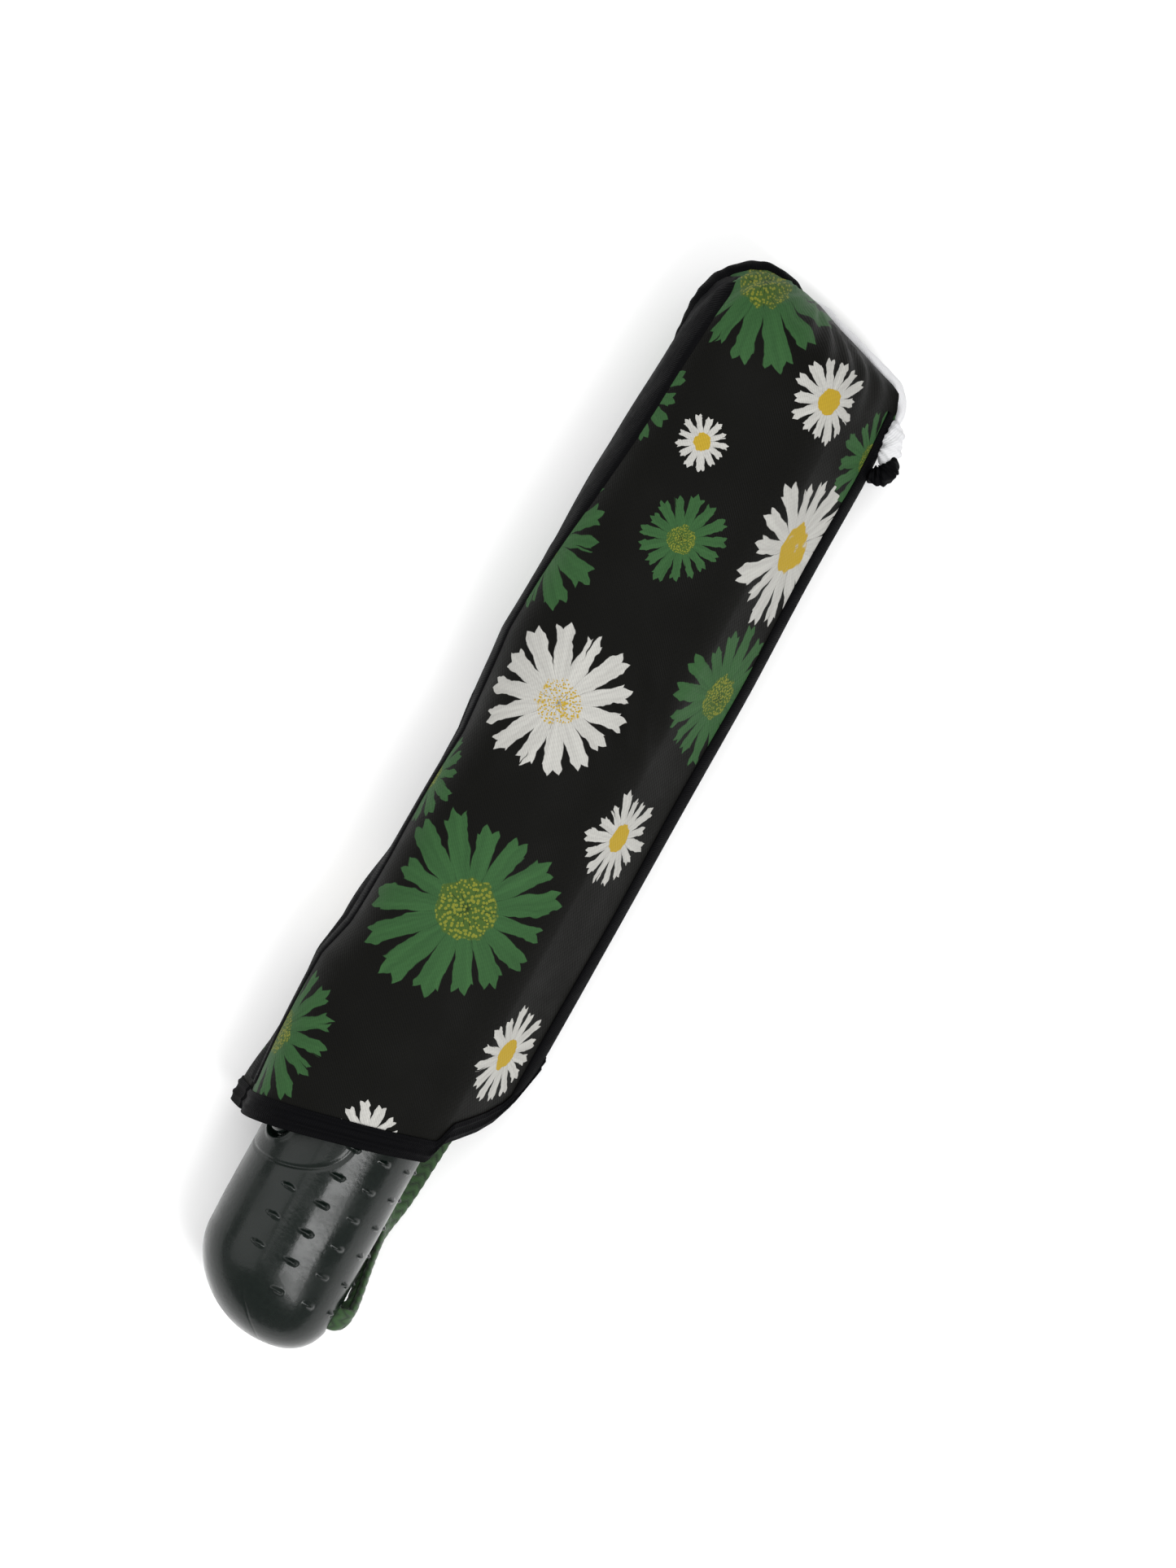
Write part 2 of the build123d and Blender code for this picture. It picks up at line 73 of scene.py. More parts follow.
def placed(points):
    """Points of (x, station, height), in millimetres, put in the row's frame."""
    return np.stack([points[..., 0] * mm, row_y(points[..., 1]), points[..., 2] * mm], -1)


def round_shaft(r, angle, station):
    """Points at a radius and an angle from straight up, round the shaft, in the row's frame."""
    return np.stack([r * np.sin(angle) * mm, row_y(station), shaft_z + r * np.cos(angle) * mm], -1)


# %% [markdown]
# ## The camera
# It looks straight down, turned so that the shaft leans across the picture. A long lens from
# about a metre up keeps the near and far sides almost the same size.

# %% Camera
camera = bpy.data.objects.new("camera", bpy.data.cameras.new("camera"))
bpy.context.scene.collection.objects.link(camera)
camera.data.lens = 100
camera.data.sensor_width = 36
lean = math.radians(29.07)
seen_height = 385.4 * mm
middle_x, middle_y = 9.95 * mm, 12.4 * mm
lens_height = seen_height * camera.data.lens / camera.data.sensor_width
camera.location = (middle_x, middle_y, lens_height + shaft_z)
camera.rotation_euler = (0, 0, lean)
bpy.context.scene.camera = camera
print(f"camera {camera.location.z:.2f} m up")

# %% [markdown]
# ## Surfaces from two parameters
# Every new piece is a grid of points worked out by a formula, with faces between neighbours. A
# grid is quick to make and easy to change: only the formula differs from piece to piece.


# %% Grid surfaces
def surface(name, points, cloth=None, around=False, flip=False):
    """Mesh of a grid P[i, j]; around joins the last j to the first. cloth[i, j] is its flat place."""
    rows, cols = points.shape[:2]
    index = np.arange(rows * cols).reshape(rows, cols)
    if around:
        index = np.hstack([index, index[:, :1]])
    quads = np.stack([index[:-1, :-1], index[1:, :-1], index[1:, 1:], index[:-1, 1:]], -1)
    order = slice(None, None, -1) if flip else slice(None)
    quads = quads.reshape(-1, 4)[:, order]
    mesh = bpy.data.meshes.new(name)
    mesh.vertices.add(rows * cols)
    mesh.vertices.foreach_set("co", np.ascontiguousarray(points, np.float32).ravel())
    mesh.loops.add(quads.size)
    mesh.loops.foreach_set("vertex_index", quads.ravel().astype(np.int32))
    mesh.polygons.add(len(quads))
    mesh.polygons.foreach_set("loop_start", np.arange(len(quads), dtype=np.int32) * 4)
    mesh.polygons.foreach_set("use_smooth", np.ones(len(quads), bool))
    mesh.update(calc_edges=True)
    if cloth is not None:
        if around and cloth.shape[1] == cols:
            cloth = np.concatenate([cloth, cloth[:, :1]], 1)
        corners = np.stack([cloth[:-1, :-1], cloth[1:, :-1], cloth[1:, 1:], cloth[:-1, 1:]], 2)
        corners = corners.reshape(-1, 4, 2)[:, order]
        layer = mesh.uv_layers.new(name="cloth")
        layer.data.foreach_set("uv", np.ascontiguousarray(corners, np.float32).ravel())
    piece = bpy.data.objects.new(name, mesh)
    bpy.context.scene.collection.objects.link(piece)
    return piece


def close_points(piece, gap=1e-5):
    """Merges points that lie together, so that poles and closed ends are whole."""
    work = bmesh.new()
    work.from_mesh(piece.data)
    bmesh.ops.remove_doubles(work, verts=work.verts, dist=gap)
    work.to_mesh(piece.data)
    work.free()
    return piece


def face_out(piece):
    """Turns a closed shell's faces outwards."""
    work = bmesh.new()
    work.from_mesh(piece.data)
    bmesh.ops.recalc_face_normals(work, faces=work.faces)
    work.to_mesh(piece.data)
    work.free()
    return piece


def thicken(piece, thickness):
    """Gives a surface its cloth or wall, inwards."""
    wall = piece.modifiers.new("wall", "SOLIDIFY")
    wall.thickness = thickness
    wall.offset = -1
    wall.use_even_offset = False
    return piece


def smooth_step(value, start, end):
    """0 before start, 1 after end, and 3t^2 - 2t^3 between them."""
    t = np.clip((value - start) / (end - start), 0, 1)
    return t * t * (3 - 2 * t)


def rounded_line(line, reach):
    """Each point becomes the mean of its neighbours up to reach away, weighted by a bell."""
    bell = np.hanning(2 * reach + 1)
    held = np.pad(line, ((reach, reach), (0, 0)), mode="reflect", reflect_type="odd")
    return np.stack([np.convolve(held[:, k], bell / bell.sum(), "valid") for k in range(3)], -1)


def with_end_points(points):
    """Adds a row at each end where a tube's ring shrinks to its middle, which closes it."""
    cols = points.shape[1]
    first, last = (points[[k]].mean(1, keepdims=True).repeat(cols, 1) for k in (0, -1))
    return np.concatenate([first, points, last])


def normals_of(points, around=False):
    """Unit normals of a grid: the cross product of its two directions."""
    along = np.gradient(points, axis=0)
    if around:
        across = (np.roll(points, -1, 1) - np.roll(points, 1, 1)) / 2
    else:
        across = np.gradient(points, axis=1)
    normal = np.cross(along, across)
    return normal / np.maximum(np.linalg.norm(normal, axis=-1, keepdims=True), 1e-12)


def finish_piece(piece, material, body, slot, *nodes):
    """Material, body and the CAD nodes a piece stands for. The slot argument is not used."""
    piece.data.materials.clear()
    piece.data.materials.append(material)
    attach(piece, body)
    if nodes:
        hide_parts(*nodes)
    print(f"{piece.name}: {len(piece.data.polygons)} faces on {body}")
    return piece


# %% [markdown]
# ## Writing shader nodes in a few words
# A material is a small graph. These helpers add one node each and join it up, so that a finish
# reads like a recipe. A value can be written in a formula, where each operator adds a node.
# Effects that several finishes share are groups, made once.


# %% Node helpers
class Value:
    """A node's output that formulas can be written with: each operator adds one Math node."""

    def __init__(self, tree, socket):
        self.tree, self.socket = tree, socket

    def __add__(self, other):
        return calc(self.tree, "ADD", self, other)

    def __sub__(self, other):
        return calc(self.tree, "SUBTRACT", self, other)

    def __rsub__(self, other):
        return calc(self.tree, "SUBTRACT", other, self)

    def __mul__(self, other):
        return calc(self.tree, "MULTIPLY", self, other)

    def __truediv__(self, other):
        return calc(self.tree, "DIVIDE", self, other)

    def __abs__(self):
        return calc(self.tree, "ABSOLUTE", self)


def put_in(tree, socket, given):
    """Links a value into a node's input, or sets the input to a plain number or colour."""
    if isinstance(given, Value):
        given = given.socket
    if isinstance(given, bpy.types.NodeSocket):
        tree.links.new(given, socket)
    else:
        socket.default_value = given


def node(tree, kind, put=None, out=0, **settings):
    """Adds a node; put gives its inputs, each a value to link or a plain number."""
    made = tree.nodes.new(kind)
    for key, value in settings.items():
        setattr(made, key, value)
    for key, given in (put or {}).items():
        put_in(tree, made.inputs[key], given)
    return Value(tree, made.outputs[out])


def calc(tree, operation, a, b=0.0, c=0.0):
    """One step of arithmetic."""
    return node(tree, "ShaderNodeMath", {0: a, 1: b, 2: c}, operation=operation)


def ramp(tree, value, low, high, to_low=0.0, to_high=1.0):
    """Maps a value from low..high to to_low..to_high, held at its ends."""
    put = {0: value, 1: low, 2: high, 3: to_low, 4: to_high}
    return node(tree, "ShaderNodeMapRange", put, clamp=True)


def blend_colour(tree, share, a, b, blend="MIX"):
    """Mixes two colours."""
    put = {0: share, 6: a, 7: b}
    return node(tree, "ShaderNodeMix", put, out=2, data_type="RGBA", blend_type=blend)


def noise(tree, place, scale, detail=3.0):
    """Cloudy noise at a place."""
    return node(tree, "ShaderNodeTexNoise", {"Vector": place, "Scale": scale, "Detail": detail})


def split(tree, vector):
    """The x, y and z of a vector."""
    made = tree.nodes.new("ShaderNodeSeparateXYZ")
    put_in(tree, made.inputs[0], vector)
    return [Value(tree, socket) for socket in made.outputs]


def colour(r, g, b):
    """A colour from 0 to 255 screen values, as the linear light that Blender wants."""
    screen = [v / 255 for v in (r, g, b)]
    light = [v / 12.92 if v < 0.0404 else ((v + 0.055) / 1.055) ** 2.4 for v in screen]
    return (*light, 1.0)


def group(name, inputs, outputs):
    """An empty shader group with named sockets."""
    tree = bpy.data.node_groups.new(name, "ShaderNodeTree")
    for label, kind in inputs:
        tree.interface.new_socket(label, in_out="INPUT", socket_type="NodeSocket" + kind)
    for label, kind in outputs:
        tree.interface.new_socket(label, in_out="OUTPUT", socket_type="NodeSocket" + kind)
    given = tree.nodes.new("NodeGroupInput").outputs
    result = tree.nodes.new("NodeGroupOutput").inputs
    return tree, given, result


def place_group(tree, made, put):
    """Puts a group in a material."""
    holder = tree.nodes.new("ShaderNodeGroup")
    holder.node_tree = made
    for key, given in put.items():
        put_in(tree, holder.inputs[key], given)
    return {socket.name: Value(tree, socket) for socket in holder.outputs}


def material(name):
    """A new material: its tree and its Principled shader."""
    made = bpy.data.materials.new(name)
    made.use_nodes = True
    return made, made.node_tree, made.node_tree.nodes["Principled BSDF"]


def feed(tree, shader, **values):
    """Sets or links shader sockets; underscores stand for spaces."""
    for key, given in values.items():
        put_in(tree, shader.inputs[key.replace("_", " ")], given)


def bump(tree, height, strength, distance):
    """Normal from a height; distance is the height's size in metres."""
    return node(tree, "ShaderNodeBump", {"Height": height, "Strength": strength, "Distance": distance})


# %% [markdown]
# ## Shared effect: the weave
# Twill is a set of fine slanting ribs, crossed by fainter ones. A sine across the cloth gives the
# ribs. Their Shade is painted shade, darker in the grooves and lighter on the ribs; a slow cloud
# over it keeps the black from being even.

# %% Twill group
twill, given, result = group("twill", [("Cloth", "Vector"), ("Pitch", "Float")],
                             [("Height", "Float"), ("Shade", "Float")])
cloth = split(twill, given["Cloth"])
rib = calc(twill, "SINE", (cloth[0] + cloth[1]) / given["Pitch"] * (2 * math.pi))
cross = calc(twill, "SINE", (cloth[0] - cloth[1]) / given["Pitch"] * math.pi)
woven = rib + cross * 0.35
cloud = noise(twill, given["Cloth"], 45.0, 4.0)
put_in(twill, result["Height"], woven)
# Shade: painted shade of the weave, darker in its grooves and lighter on its ribs, plus the cloud's random
# tone
shade = ramp(twill, woven, -1.3, 1.3, 0.86, 1.1) + ramp(twill, cloud, 0.3, 0.7, -0.08, 0.08)
put_in(twill, result["Shade"], shade)

# %% [markdown]
# ## Shared effect: daisies
# A daisy is a mask in polar coordinates: the angle picks a petal, a random number gives that petal
# its own length and width, and a zigzag cuts its tip. A picture would be quicker, but it would
# blur up close and could not be changed petal by petal.

# %% Daisy group
daisy, given, result = group(
    "daisy", [("Place", "Vector"), ("Look", "Vector")],
    [("Petal", "Float"), ("Eye", "Float"), ("Dots", "Float"), ("Streak", "Float")])
# Place is (x, y, seed) in flower radii; Look is (green or white, petals, eye filled or dotted)
place = split(daisy, given["Place"])
look = split(daisy, given["Look"])
# a corner attribute is blended over the face, so the numbers that must be whole are rounded
seed = calc(daisy, "ROUND", place[2] * 20.0) / 20.0
petals = calc(daisy, "ROUND", look[1])
flat_place = node(daisy, "ShaderNodeCombineXYZ", {0: place[0], 1: place[1], 2: seed})
rough = noise(daisy, flat_place, 7.0, 1.0) - 0.5
far = calc(daisy, "SQRT", place[0] * place[0] + place[1] * place[1])
turn = calc(daisy, "ARCTAN2", place[1], place[0]) / (2 * math.pi) + rough * 0.014 + seed * 0.37
# count runs from 0 to the number of petals; within is the place across one petal
count = turn * petals
within = calc(daisy, "FRACT", count) - 0.5
side = abs(within)
petal_number = calc(daisy, "ROUND", calc(daisy, "FLOORED_MODULO", calc(daisy, "FLOOR", count), petals))
seed_place = node(daisy, "ShaderNodeCombineXYZ", {0: petal_number, 1: seed, 2: 0.0})
own = node(daisy, "ShaderNodeTexWhiteNoise", {"Vector": seed_place}, noise_dimensions="3D")
own_b = calc(daisy, "FRACT", own * 7.31)
own_c = calc(daisy, "FRACT", own * 23.7)
share = far / (own * 0.24 + 0.84)
# the tip: one minus a zigzag and a round shoulder
zigzag = abs(calc(daisy, "FRACT", within * 2.7 + own_b) - 0.5)
tip_edge = 1.0 - (zigzag * 0.2 + side * side * 0.55) - share
# the flanks: petals touch near the eye and part further out
touching = 0.52
opening = ramp(daisy, share - (own_b * 0.12 + 0.4), 0.0, 0.26)
half = touching - opening * (touching - (own_c * 0.12 + 0.27))
flank_edge = (half - side) * (far * 0.55)
# a narrow cut that splits some petals
cut_depth = (share - (own_c * 0.9 + 0.6)) * 0.16
cut_edge = (abs(within - (own_b - 0.5)) - cut_depth) * 0.5
edge = calc(daisy, "MINIMUM", calc(daisy, "MINIMUM", tip_edge, flank_edge), cut_edge) + rough * 0.018
put_in(daisy, result["Petal"], ramp(daisy, edge, -0.004, 0.008))
eye_size = 0.3
eye = ramp(daisy, rough * 0.16 + eye_size - far, -0.01, 0.01)
put_in(daisy, result["Eye"], eye)
cells = node(daisy, "ShaderNodeTexVoronoi", {"Vector": flat_place, "Scale": 25.0},
             voronoi_dimensions="2D")
grain = noise(daisy, flat_place, 6.0, 2.0)
dots = ramp(daisy, ramp(daisy, grain, 0.3, 0.65, 0.18, 0.42) - cells, -0.05, 0.05)
filled = ramp(daisy, look[2] + (grain - 0.5) * 0.6, 0.45, 0.55)
put_in(daisy, result["Dots"], eye * calc(daisy, "MAXIMUM", dots, filled))
streak = node(daisy, "ShaderNodeCombineXYZ", {0: count * 5.0, 1: far * 1.2, 2: seed})
put_in(daisy, result["Streak"], noise(daisy, streak, 1.0, 2.0))

# %% [markdown]
# ## Shared effect: wear
# Handled things are never evenly clean. A cloudy mask marks the rubbed patches, and a fine grain
# serves for tone and for the skin's tiny unevenness.

# %% Edge wear and dust group
wear, given, result = group("wear", [("Place", "Vector"), ("Scale", "Float")],
                            [("Mask", "Float"), ("Fine", "Float")])
cloudy = noise(wear, given["Place"], given["Scale"], 6.0)
put_in(wear, result["Mask"], ramp(wear, cloudy, 0.42, 0.7))
put_in(wear, result["Fine"], noise(wear, given["Place"], calc(wear, "MULTIPLY", given["Scale"], 9.0), 4.0))
print("groups: twill, daisy, wear")

# %% [markdown]
# ## The printed cloth
# The sleeve and the canopy are the same black twill with daisies. Which flower a face belongs to,
# and where on that flower it lies, is worked out from the cloth's flat coordinates and kept as a
# corner attribute; the shader then draws one daisy from it, which is far quicker than thirty.


# %% Printing flowers on a mesh
def print_flowers(piece, flowers):
    """Each face takes the flower whose distance over radius is least; corners get (p - c) / R."""
    mesh = piece.data
    flat = np.zeros(len(mesh.loops) * 2, np.float32)
    mesh.uv_layers["cloth"].data.foreach_get("uv", flat)
    flat = flat.reshape(-1, 2) / mm
    start = np.zeros(len(mesh.polygons), np.int32)
    total = np.zeros(len(mesh.polygons), np.int32)
    mesh.polygons.foreach_get("loop_start", start)
    mesh.polygons.foreach_get("loop_total", total)
    owner = np.repeat(np.arange(len(start)), total)
    table = np.array(flowers, float)
    middle = np.zeros((len(start), 2))
    np.add.at(middle, owner, flat)
    middle /= total[:, None]
    away = np.linalg.norm(middle[:, None] - table[None, :, :2], axis=-1) / table[None, :, 2]
    chosen = np.argmin(away, 1)[owner]
    place = np.zeros((len(flat), 3), np.float32)
    place[:, :2] = (flat - table[chosen, :2]) / table[chosen, 2:3]
    place[:, 2] = table[chosen, 3]
    look = np.ascontiguousarray(table[chosen, 4:7], np.float32)
    for name, values in (("flower_place", place), ("flower_look", look)):
        layer = mesh.attributes.new(name, "FLOAT_VECTOR", "CORNER")
        layer.data.foreach_set("vector", values.ravel())
    return piece


printed, tree, shader = material("printed_twill")
uv = node(tree, "ShaderNodeUVMap", uv_map="cloth")
cloth_mm = node(tree, "ShaderNodeVectorMath", {0: uv, "Scale": 1 / mm}, operation="SCALE")
flower_place = node(tree, "ShaderNodeAttribute", out=1, attribute_name="flower_place")
flower_look = node(tree, "ShaderNodeAttribute", out=1, attribute_name="flower_look")
weave = place_group(tree, twill, {"Cloth": cloth_mm, "Pitch": 0.8})
bloom = place_group(tree, daisy, {"Place": flower_place, "Look": flower_look})
green_share = split(tree, flower_look)[0]
petal_green = blend_colour(tree, bloom["Streak"], colour(37, 65, 37), colour(52, 88, 50))
petal_white = blend_colour(tree, bloom["Streak"], colour(146, 145, 141), colour(182, 181, 176))
petal = blend_colour(tree, green_share, petal_white, petal_green)
eye_base = blend_colour(tree, green_share, petal_white, colour(58, 80, 34))
petal = blend_colour(tree, bloom["Eye"], petal, eye_base)
eye_dots = blend_colour(tree, green_share, colour(160, 134, 40), colour(108, 112, 40))
# the black ground and the whole print take the weave's painted shade: darker in its grooves, lighter on its
# ribs
ground = blend_colour(tree, weave["Shade"], colour(3, 3, 2), colour(9, 9, 7))
print_colour = blend_colour(tree, bloom["Petal"], ground, petal)
print_colour = blend_colour(tree, bloom["Dots"], print_colour, eye_dots)
woven_colour = blend_colour(tree, 1.0, print_colour, weave["Shade"], "MULTIPLY")
shade = blend_colour(tree, 0.7, print_colour, woven_colour)
soil = place_group(tree, wear, {"Place": uv, "Scale": 60.0})
feed(tree, shader, Base_Color=shade,
     Roughness=ramp(tree, soil["Mask"], 0, 1, 0.62, 0.5),
     Normal=bump(tree, weave["Height"], 0.35, 0.06 * mm),
     Sheen_Weight=0.01, Sheen_Roughness=0.4, Specular_IOR_Level=0.06)
print("printed twill ready")

# %% [markdown]
# ## Binding tape
# The sleeve is bound with a black ribbed ribbon. Its ribs and creases are bumps on a dull black,
# and the black is painted darker in the creases' hollows as shade.

# %% Binding tape
tape, tree, shader = material("binding_tape")
uv = node(tree, "ShaderNodeUVMap", uv_map="cloth")
rib_pitch = 0.55 * mm
ribs = calc(tree, "SINE", split(tree, uv)[1] * (2 * math.pi / rib_pitch))
creases = noise(tree, uv, 160.0, 4.0)
# the base colour follows the crease bump: painted shade, darker in its hollows and lighter on its ridges
feed(tree, shader, Base_Color=blend_colour(tree, creases, colour(2, 2, 3), colour(8, 8, 10)),
     Roughness=ramp(tree, creases, 0.3, 0.7, 0.55, 0.75),
     Normal=bump(tree, ribs * 0.25 + creases, 0.5, 0.4 * mm), Specular_IOR_Level=0.04)

# %% [markdown]
# ## Plastics and metals
# One recipe serves them all. The handle is glossy dark green plastic with handling marks; steel,
# lacquer and nylon are told apart by how rough and how metallic they are.


# %% Moulded plastics
def moulded(name, dark, light, rough, bump_mm, coat=0.0, metallic=0.0, grain=90.0, specular=0.5):
    """Plastic or metal with a mottled tone, fine surface grain and patches of wear."""
    made, tree, shader = material(name)
    place = node(tree, "ShaderNodeTexCoord", out=3)
    worn = place_group(tree, wear, {"Place": place, "Scale": grain})
    feed(tree, shader, Base_Color=blend_colour(tree, worn["Fine"], colour(*dark), colour(*light)),
         Roughness=ramp(tree, worn["Mask"] + worn["Fine"], 0.3, 1.5, rough * 0.7, rough * 1.5),
         Normal=bump(tree, worn["Fine"], 0.25, bump_mm * mm),
         Metallic=metallic, Coat_Weight=coat, Specular_IOR_Level=specular)
    return made


# for each slot: name, dark tone, light tone, roughness, bump, coat, metallic, grain, specular
recipes = {
    "handle_plastic": ("handle_gloss", (7, 13, 11), (14, 22, 18), 0.23, 0.16, 0.06, 0, 90, 0.22),
    "button_plastic": ("button_gloss", (12, 16, 15), (24, 30, 28), 0.22, 0.06, 0.3),
    "core_plastic": ("core_nylon", (24, 24, 24), (40, 40, 40), 0.45, 0.1),
    "hub_plastic": ("hub_nylon", (16, 16, 17), (32, 32, 34), 0.4, 0.1),
    "cap_plastic": ("cap_nylon", (12, 20, 16), (28, 38, 33), 0.25, 0.06, 0.3),
    "tube_steel": ("plated_tube", (165, 168, 172), (205, 208, 212), 0.24, 0.02, 0, 1.0, 160),
    "bright_steel": ("bright_pin", (190, 190, 192), (222, 222, 224), 0.18, 0.02, 0, 1.0, 200),
    "spring_steel": ("spring_wire", (120, 122, 126), (170, 172, 176), 0.3, 0.03, 0, 1.0),
    "rib_steel": ("lacquered_rib", (10, 10, 11), (30, 30, 32), 0.32, 0.03, 0.2, 0.3, 200)}
finishes = {slot: moulded(*recipe) for slot, recipe in recipes.items()}
finishes.update(rib_rod=finishes["rib_steel"], strap_braid=finishes["core_plastic"],
                sleeve_cloth=printed, canopy_cloth=printed)
slots = {row["node"]: row["material_slot"] for row in frame["record"]["subparts"]}
for name, part in frame["nodes"].items():
    part.data.materials.clear()
    part.data.materials.append(finishes[slots[name]])
print(f"{len(finishes)} finishes on {len(slots)} nodes")

# %% [markdown]
# ## The wrist strap
# A loop of flat knitted braid, both ends held in the handle. Its line is a smooth spline through a
# few points; the braid is a flattened section carried along it, turned so that it lies flat on the
# floor of the sleeve, stands on edge against the handle, and folds on edge at its far end.

# %% Strap line
strap_route = [
    (14.2, 13.0, 27.3), (22.8, 13.2, 27.4), (22.2, 19.0, 21.5), (20.2, 29.5, 13.5),
    (19.2, 41.0, 5.6), (20.0, 54.0, 3.6), (21.0, 69.0, 3.3), (22.8, 86.0, 3.3),
    (25.6, 106.0, 3.4), (26.6, 128.0, 3.8), (26.4, 148.0, 4.6), (27.2, 163.5, 4.8),
    (24.4, 170.6, 4.8), (17.6, 171.0, 4.8), (14.3, 163.8, 4.8), (15.4, 151.0, 4.7),
    (16.6, 134.0, 4.0), (16.0, 113.0, 3.4), (14.6, 92.0, 3.3), (13.4, 73.0, 3.2),
    (12.8, 56.0, 3.3), (14.6, 41.5, 4.6), (19.0, 30.0, 9.4), (20.4, 21.0, 16.4),
    (21.2, 13.8, 22.6), (14.2, 13.0, 23.1)]
strap_width, strap_thick, stitch = 6.2 * mm, 1.9 * mm, 2.7 * mm
line = bpy.data.curves.new("strap_line", "CURVE")
line.dimensions = "3D"
line.resolution_u = 24
spline = line.splines.new("NURBS")
spline.points.add(len(strap_route) - 1)
for point, (x, station, height) in zip(spline.points, strap_route):
    point.co = (x * mm, row_y(station), height * mm, 1)
spline.order_u = 3
spline.use_endpoint_u = True
holder = bpy.data.objects.new("strap_line", line)
bpy.context.scene.collection.objects.link(holder)
drawn = bpy.data.meshes.new_from_object(holder.evaluated_get(bpy.context.evaluated_depsgraph_get()))
path = np.zeros(len(drawn.vertices) * 3, np.float32)
drawn.vertices.foreach_get("co", path)
path = path.reshape(-1, 3).astype(float)
bpy.data.objects.remove(holder)


def walked(line):
    """Length of a line up to each of its points."""
    return np.append(0, np.cumsum(np.linalg.norm(np.diff(line, axis=0), axis=1)))


def point_at(lengths, line):
    """Points of a line at given lengths along it."""
    return np.stack([np.interp(lengths, walked(line), line[:, k]) for k in range(3)], -1)


path = point_at(np.linspace(0, walked(path)[-1], 420), path)
run = walked(path)
strap_length = run[-1]
print(f"strap line {strap_length / mm:.1f} mm")

# %% [markdown]
# ## The braid's stitches
# A knitted tube pressed flat shows rows of V stitches. They are raised on the section itself, so
# that they show at the strap's edges too, where a painted bump would stay flat.


# %% Braid
def braid(name, rows=1000, cols=32):
    """P(l, a) = line(l) + W(l) 3.1 |cos a|^0.7 + N(l) 0.95 |sin a|^0.8, with V stitches raised on it."""
    length = np.linspace(0, strap_length, rows)
    centre = rounded_line(point_at(length, path), 7)
    ahead = np.gradient(centre, axis=0)
    ahead /= np.linalg.norm(ahead, axis=1, keepdims=True)
    near = np.minimum(length, strap_length - length) / mm
    on_side = smooth_step(near, 3, 10) * (1 - smooth_step(near, 30, 52))
    on_edge = smooth_step(near, 120, 150)
    side = np.cross(ahead, [0, 0, 1.0])
    first = np.stack([np.sin(on_side * math.pi / 2), 0 * on_side, np.cos(on_side * math.pi / 2)], -1)
    turn = (on_edge * math.pi / 2)[:, None]
    normal = first * np.cos(turn) + side * np.sin(turn)
    normal -= ahead * (normal * ahead).sum(1, keepdims=True)
    normal /= np.linalg.norm(normal, axis=1, keepdims=True)
    width = np.cross(normal, ahead)
    angle = np.linspace(0, 2 * math.pi, cols, endpoint=False)
    across = np.sign(np.cos(angle)) * np.abs(np.cos(angle)) ** 0.75
    lift = np.sign(np.sin(angle)) * np.abs(np.sin(angle)) ** 0.8
    chevron = length[:, None] / stitch + 0.55 * np.abs(np.abs(across) - 0.5)[None, :] * 2
    raised = np.abs(np.sin(math.pi * chevron)) ** 0.7 * np.abs(np.sin(math.pi * across))[None, :] ** 0.5
    half_thick = strap_thick / 2 * (0.72 + 0.36 * raised)
    half_width = strap_width / 2 * (0.95 + 0.05 * np.abs(np.sin(math.pi * chevron)))
    points = (centre[:, None] + width[:, None] * (half_width * across[None, :])[..., None]
              + normal[:, None] * (half_thick * lift[None, :])[..., None])
    cloth = np.stack([np.broadcast_to(across * strap_width / 2, raised.shape),
                      np.broadcast_to(length[:, None], raised.shape)], -1)
    cloth = np.concatenate([cloth[:1], cloth, cloth[-1:]])
    return face_out(close_points(surface(name, with_end_points(points), cloth, around=True))), centre


knit, tree, shader = material("green_knit")
uv = node(tree, "ShaderNodeUVMap", uv_map="cloth")
parts = split(tree, uv)
lean_x = abs(abs(parts[0] / (strap_width / 2)) - 0.5)
crest = abs(calc(tree, "SINE", (parts[1] / stitch + lean_x * 1.1) * math.pi))
strand_pitch = 0.4 * mm
strand = calc(tree, "SINE", (parts[0] + parts[1]) * (2 * math.pi / strand_pitch))
fuzz = noise(tree, uv, 900.0, 3.0)
# tone is painted highlight and shade on the stitches, lighter on their crests and darker between them, plus
# random fuzz tone
tone = crest * 0.6 + fuzz * 0.5
feed(tree, shader, Base_Color=blend_colour(tree, tone, colour(10, 24, 10), colour(44, 78, 35)),
     Roughness=ramp(tree, fuzz, 0.3, 0.7, 0.55, 0.8),
     Normal=bump(tree, crest + strand * 0.3, 0.6, 0.25 * mm), Sheen_Weight=0.12)
strap, strap_centre = braid("knitted_strap")
finish_piece(strap, knit, "handle", "strap_braid", "wrist_strap")

# %% [markdown]
# ## The sleeve
# The sleeve is two printed panels sewn at the sides. It is one surface S(u, v): u runs from the
# slanted mouth to the closed end, v goes round from the right seam over the top, down the left
# side and back under. Its section is a circle over the bundle with a straight slope to the seam.
# Cloth simulation could drape it too, but a formula keeps the outline where it must be.

# %% Sleeve section and outline
seam = (33.0, 16.0)
crease_x = 20.5
crease_angle = math.acos(crease_x / (sleeve_r / mm))
panel_flatness = 2.7
section_points = 108
rest_left, roll_left = -13.1, -20.64
mouth_line = ([-30, -25.4, 19.8, 21.2, 24, 27, 29.5, 31.4, 32.5, 33.4],
              [46.8, 48, 60, 65.6, 68.4, 71.4, 75, 80, 86, 93])
end_line = ([-26, -24, -21.5, -17, -13, -6.6, 2, 10, 20, 31, 34],
            [276, 281, 286, 290, 291.4, 291.8, 290, 287, 284.2, 281, 277])
left_line = ([48, 70, 91, 101, 120, 155, 182, 205, 227, 269, 300],
             [25.4, 26.6, 27.4, 25.2, 24.4, 23.6, 26.6, 26.0, 25.6, 24.0, 23.6])
right_line = ([60, 92, 130, 200, 256, 275, 300], [33.2, 33.3, 33.6, 33.8, 33.4, 32.6, 31])


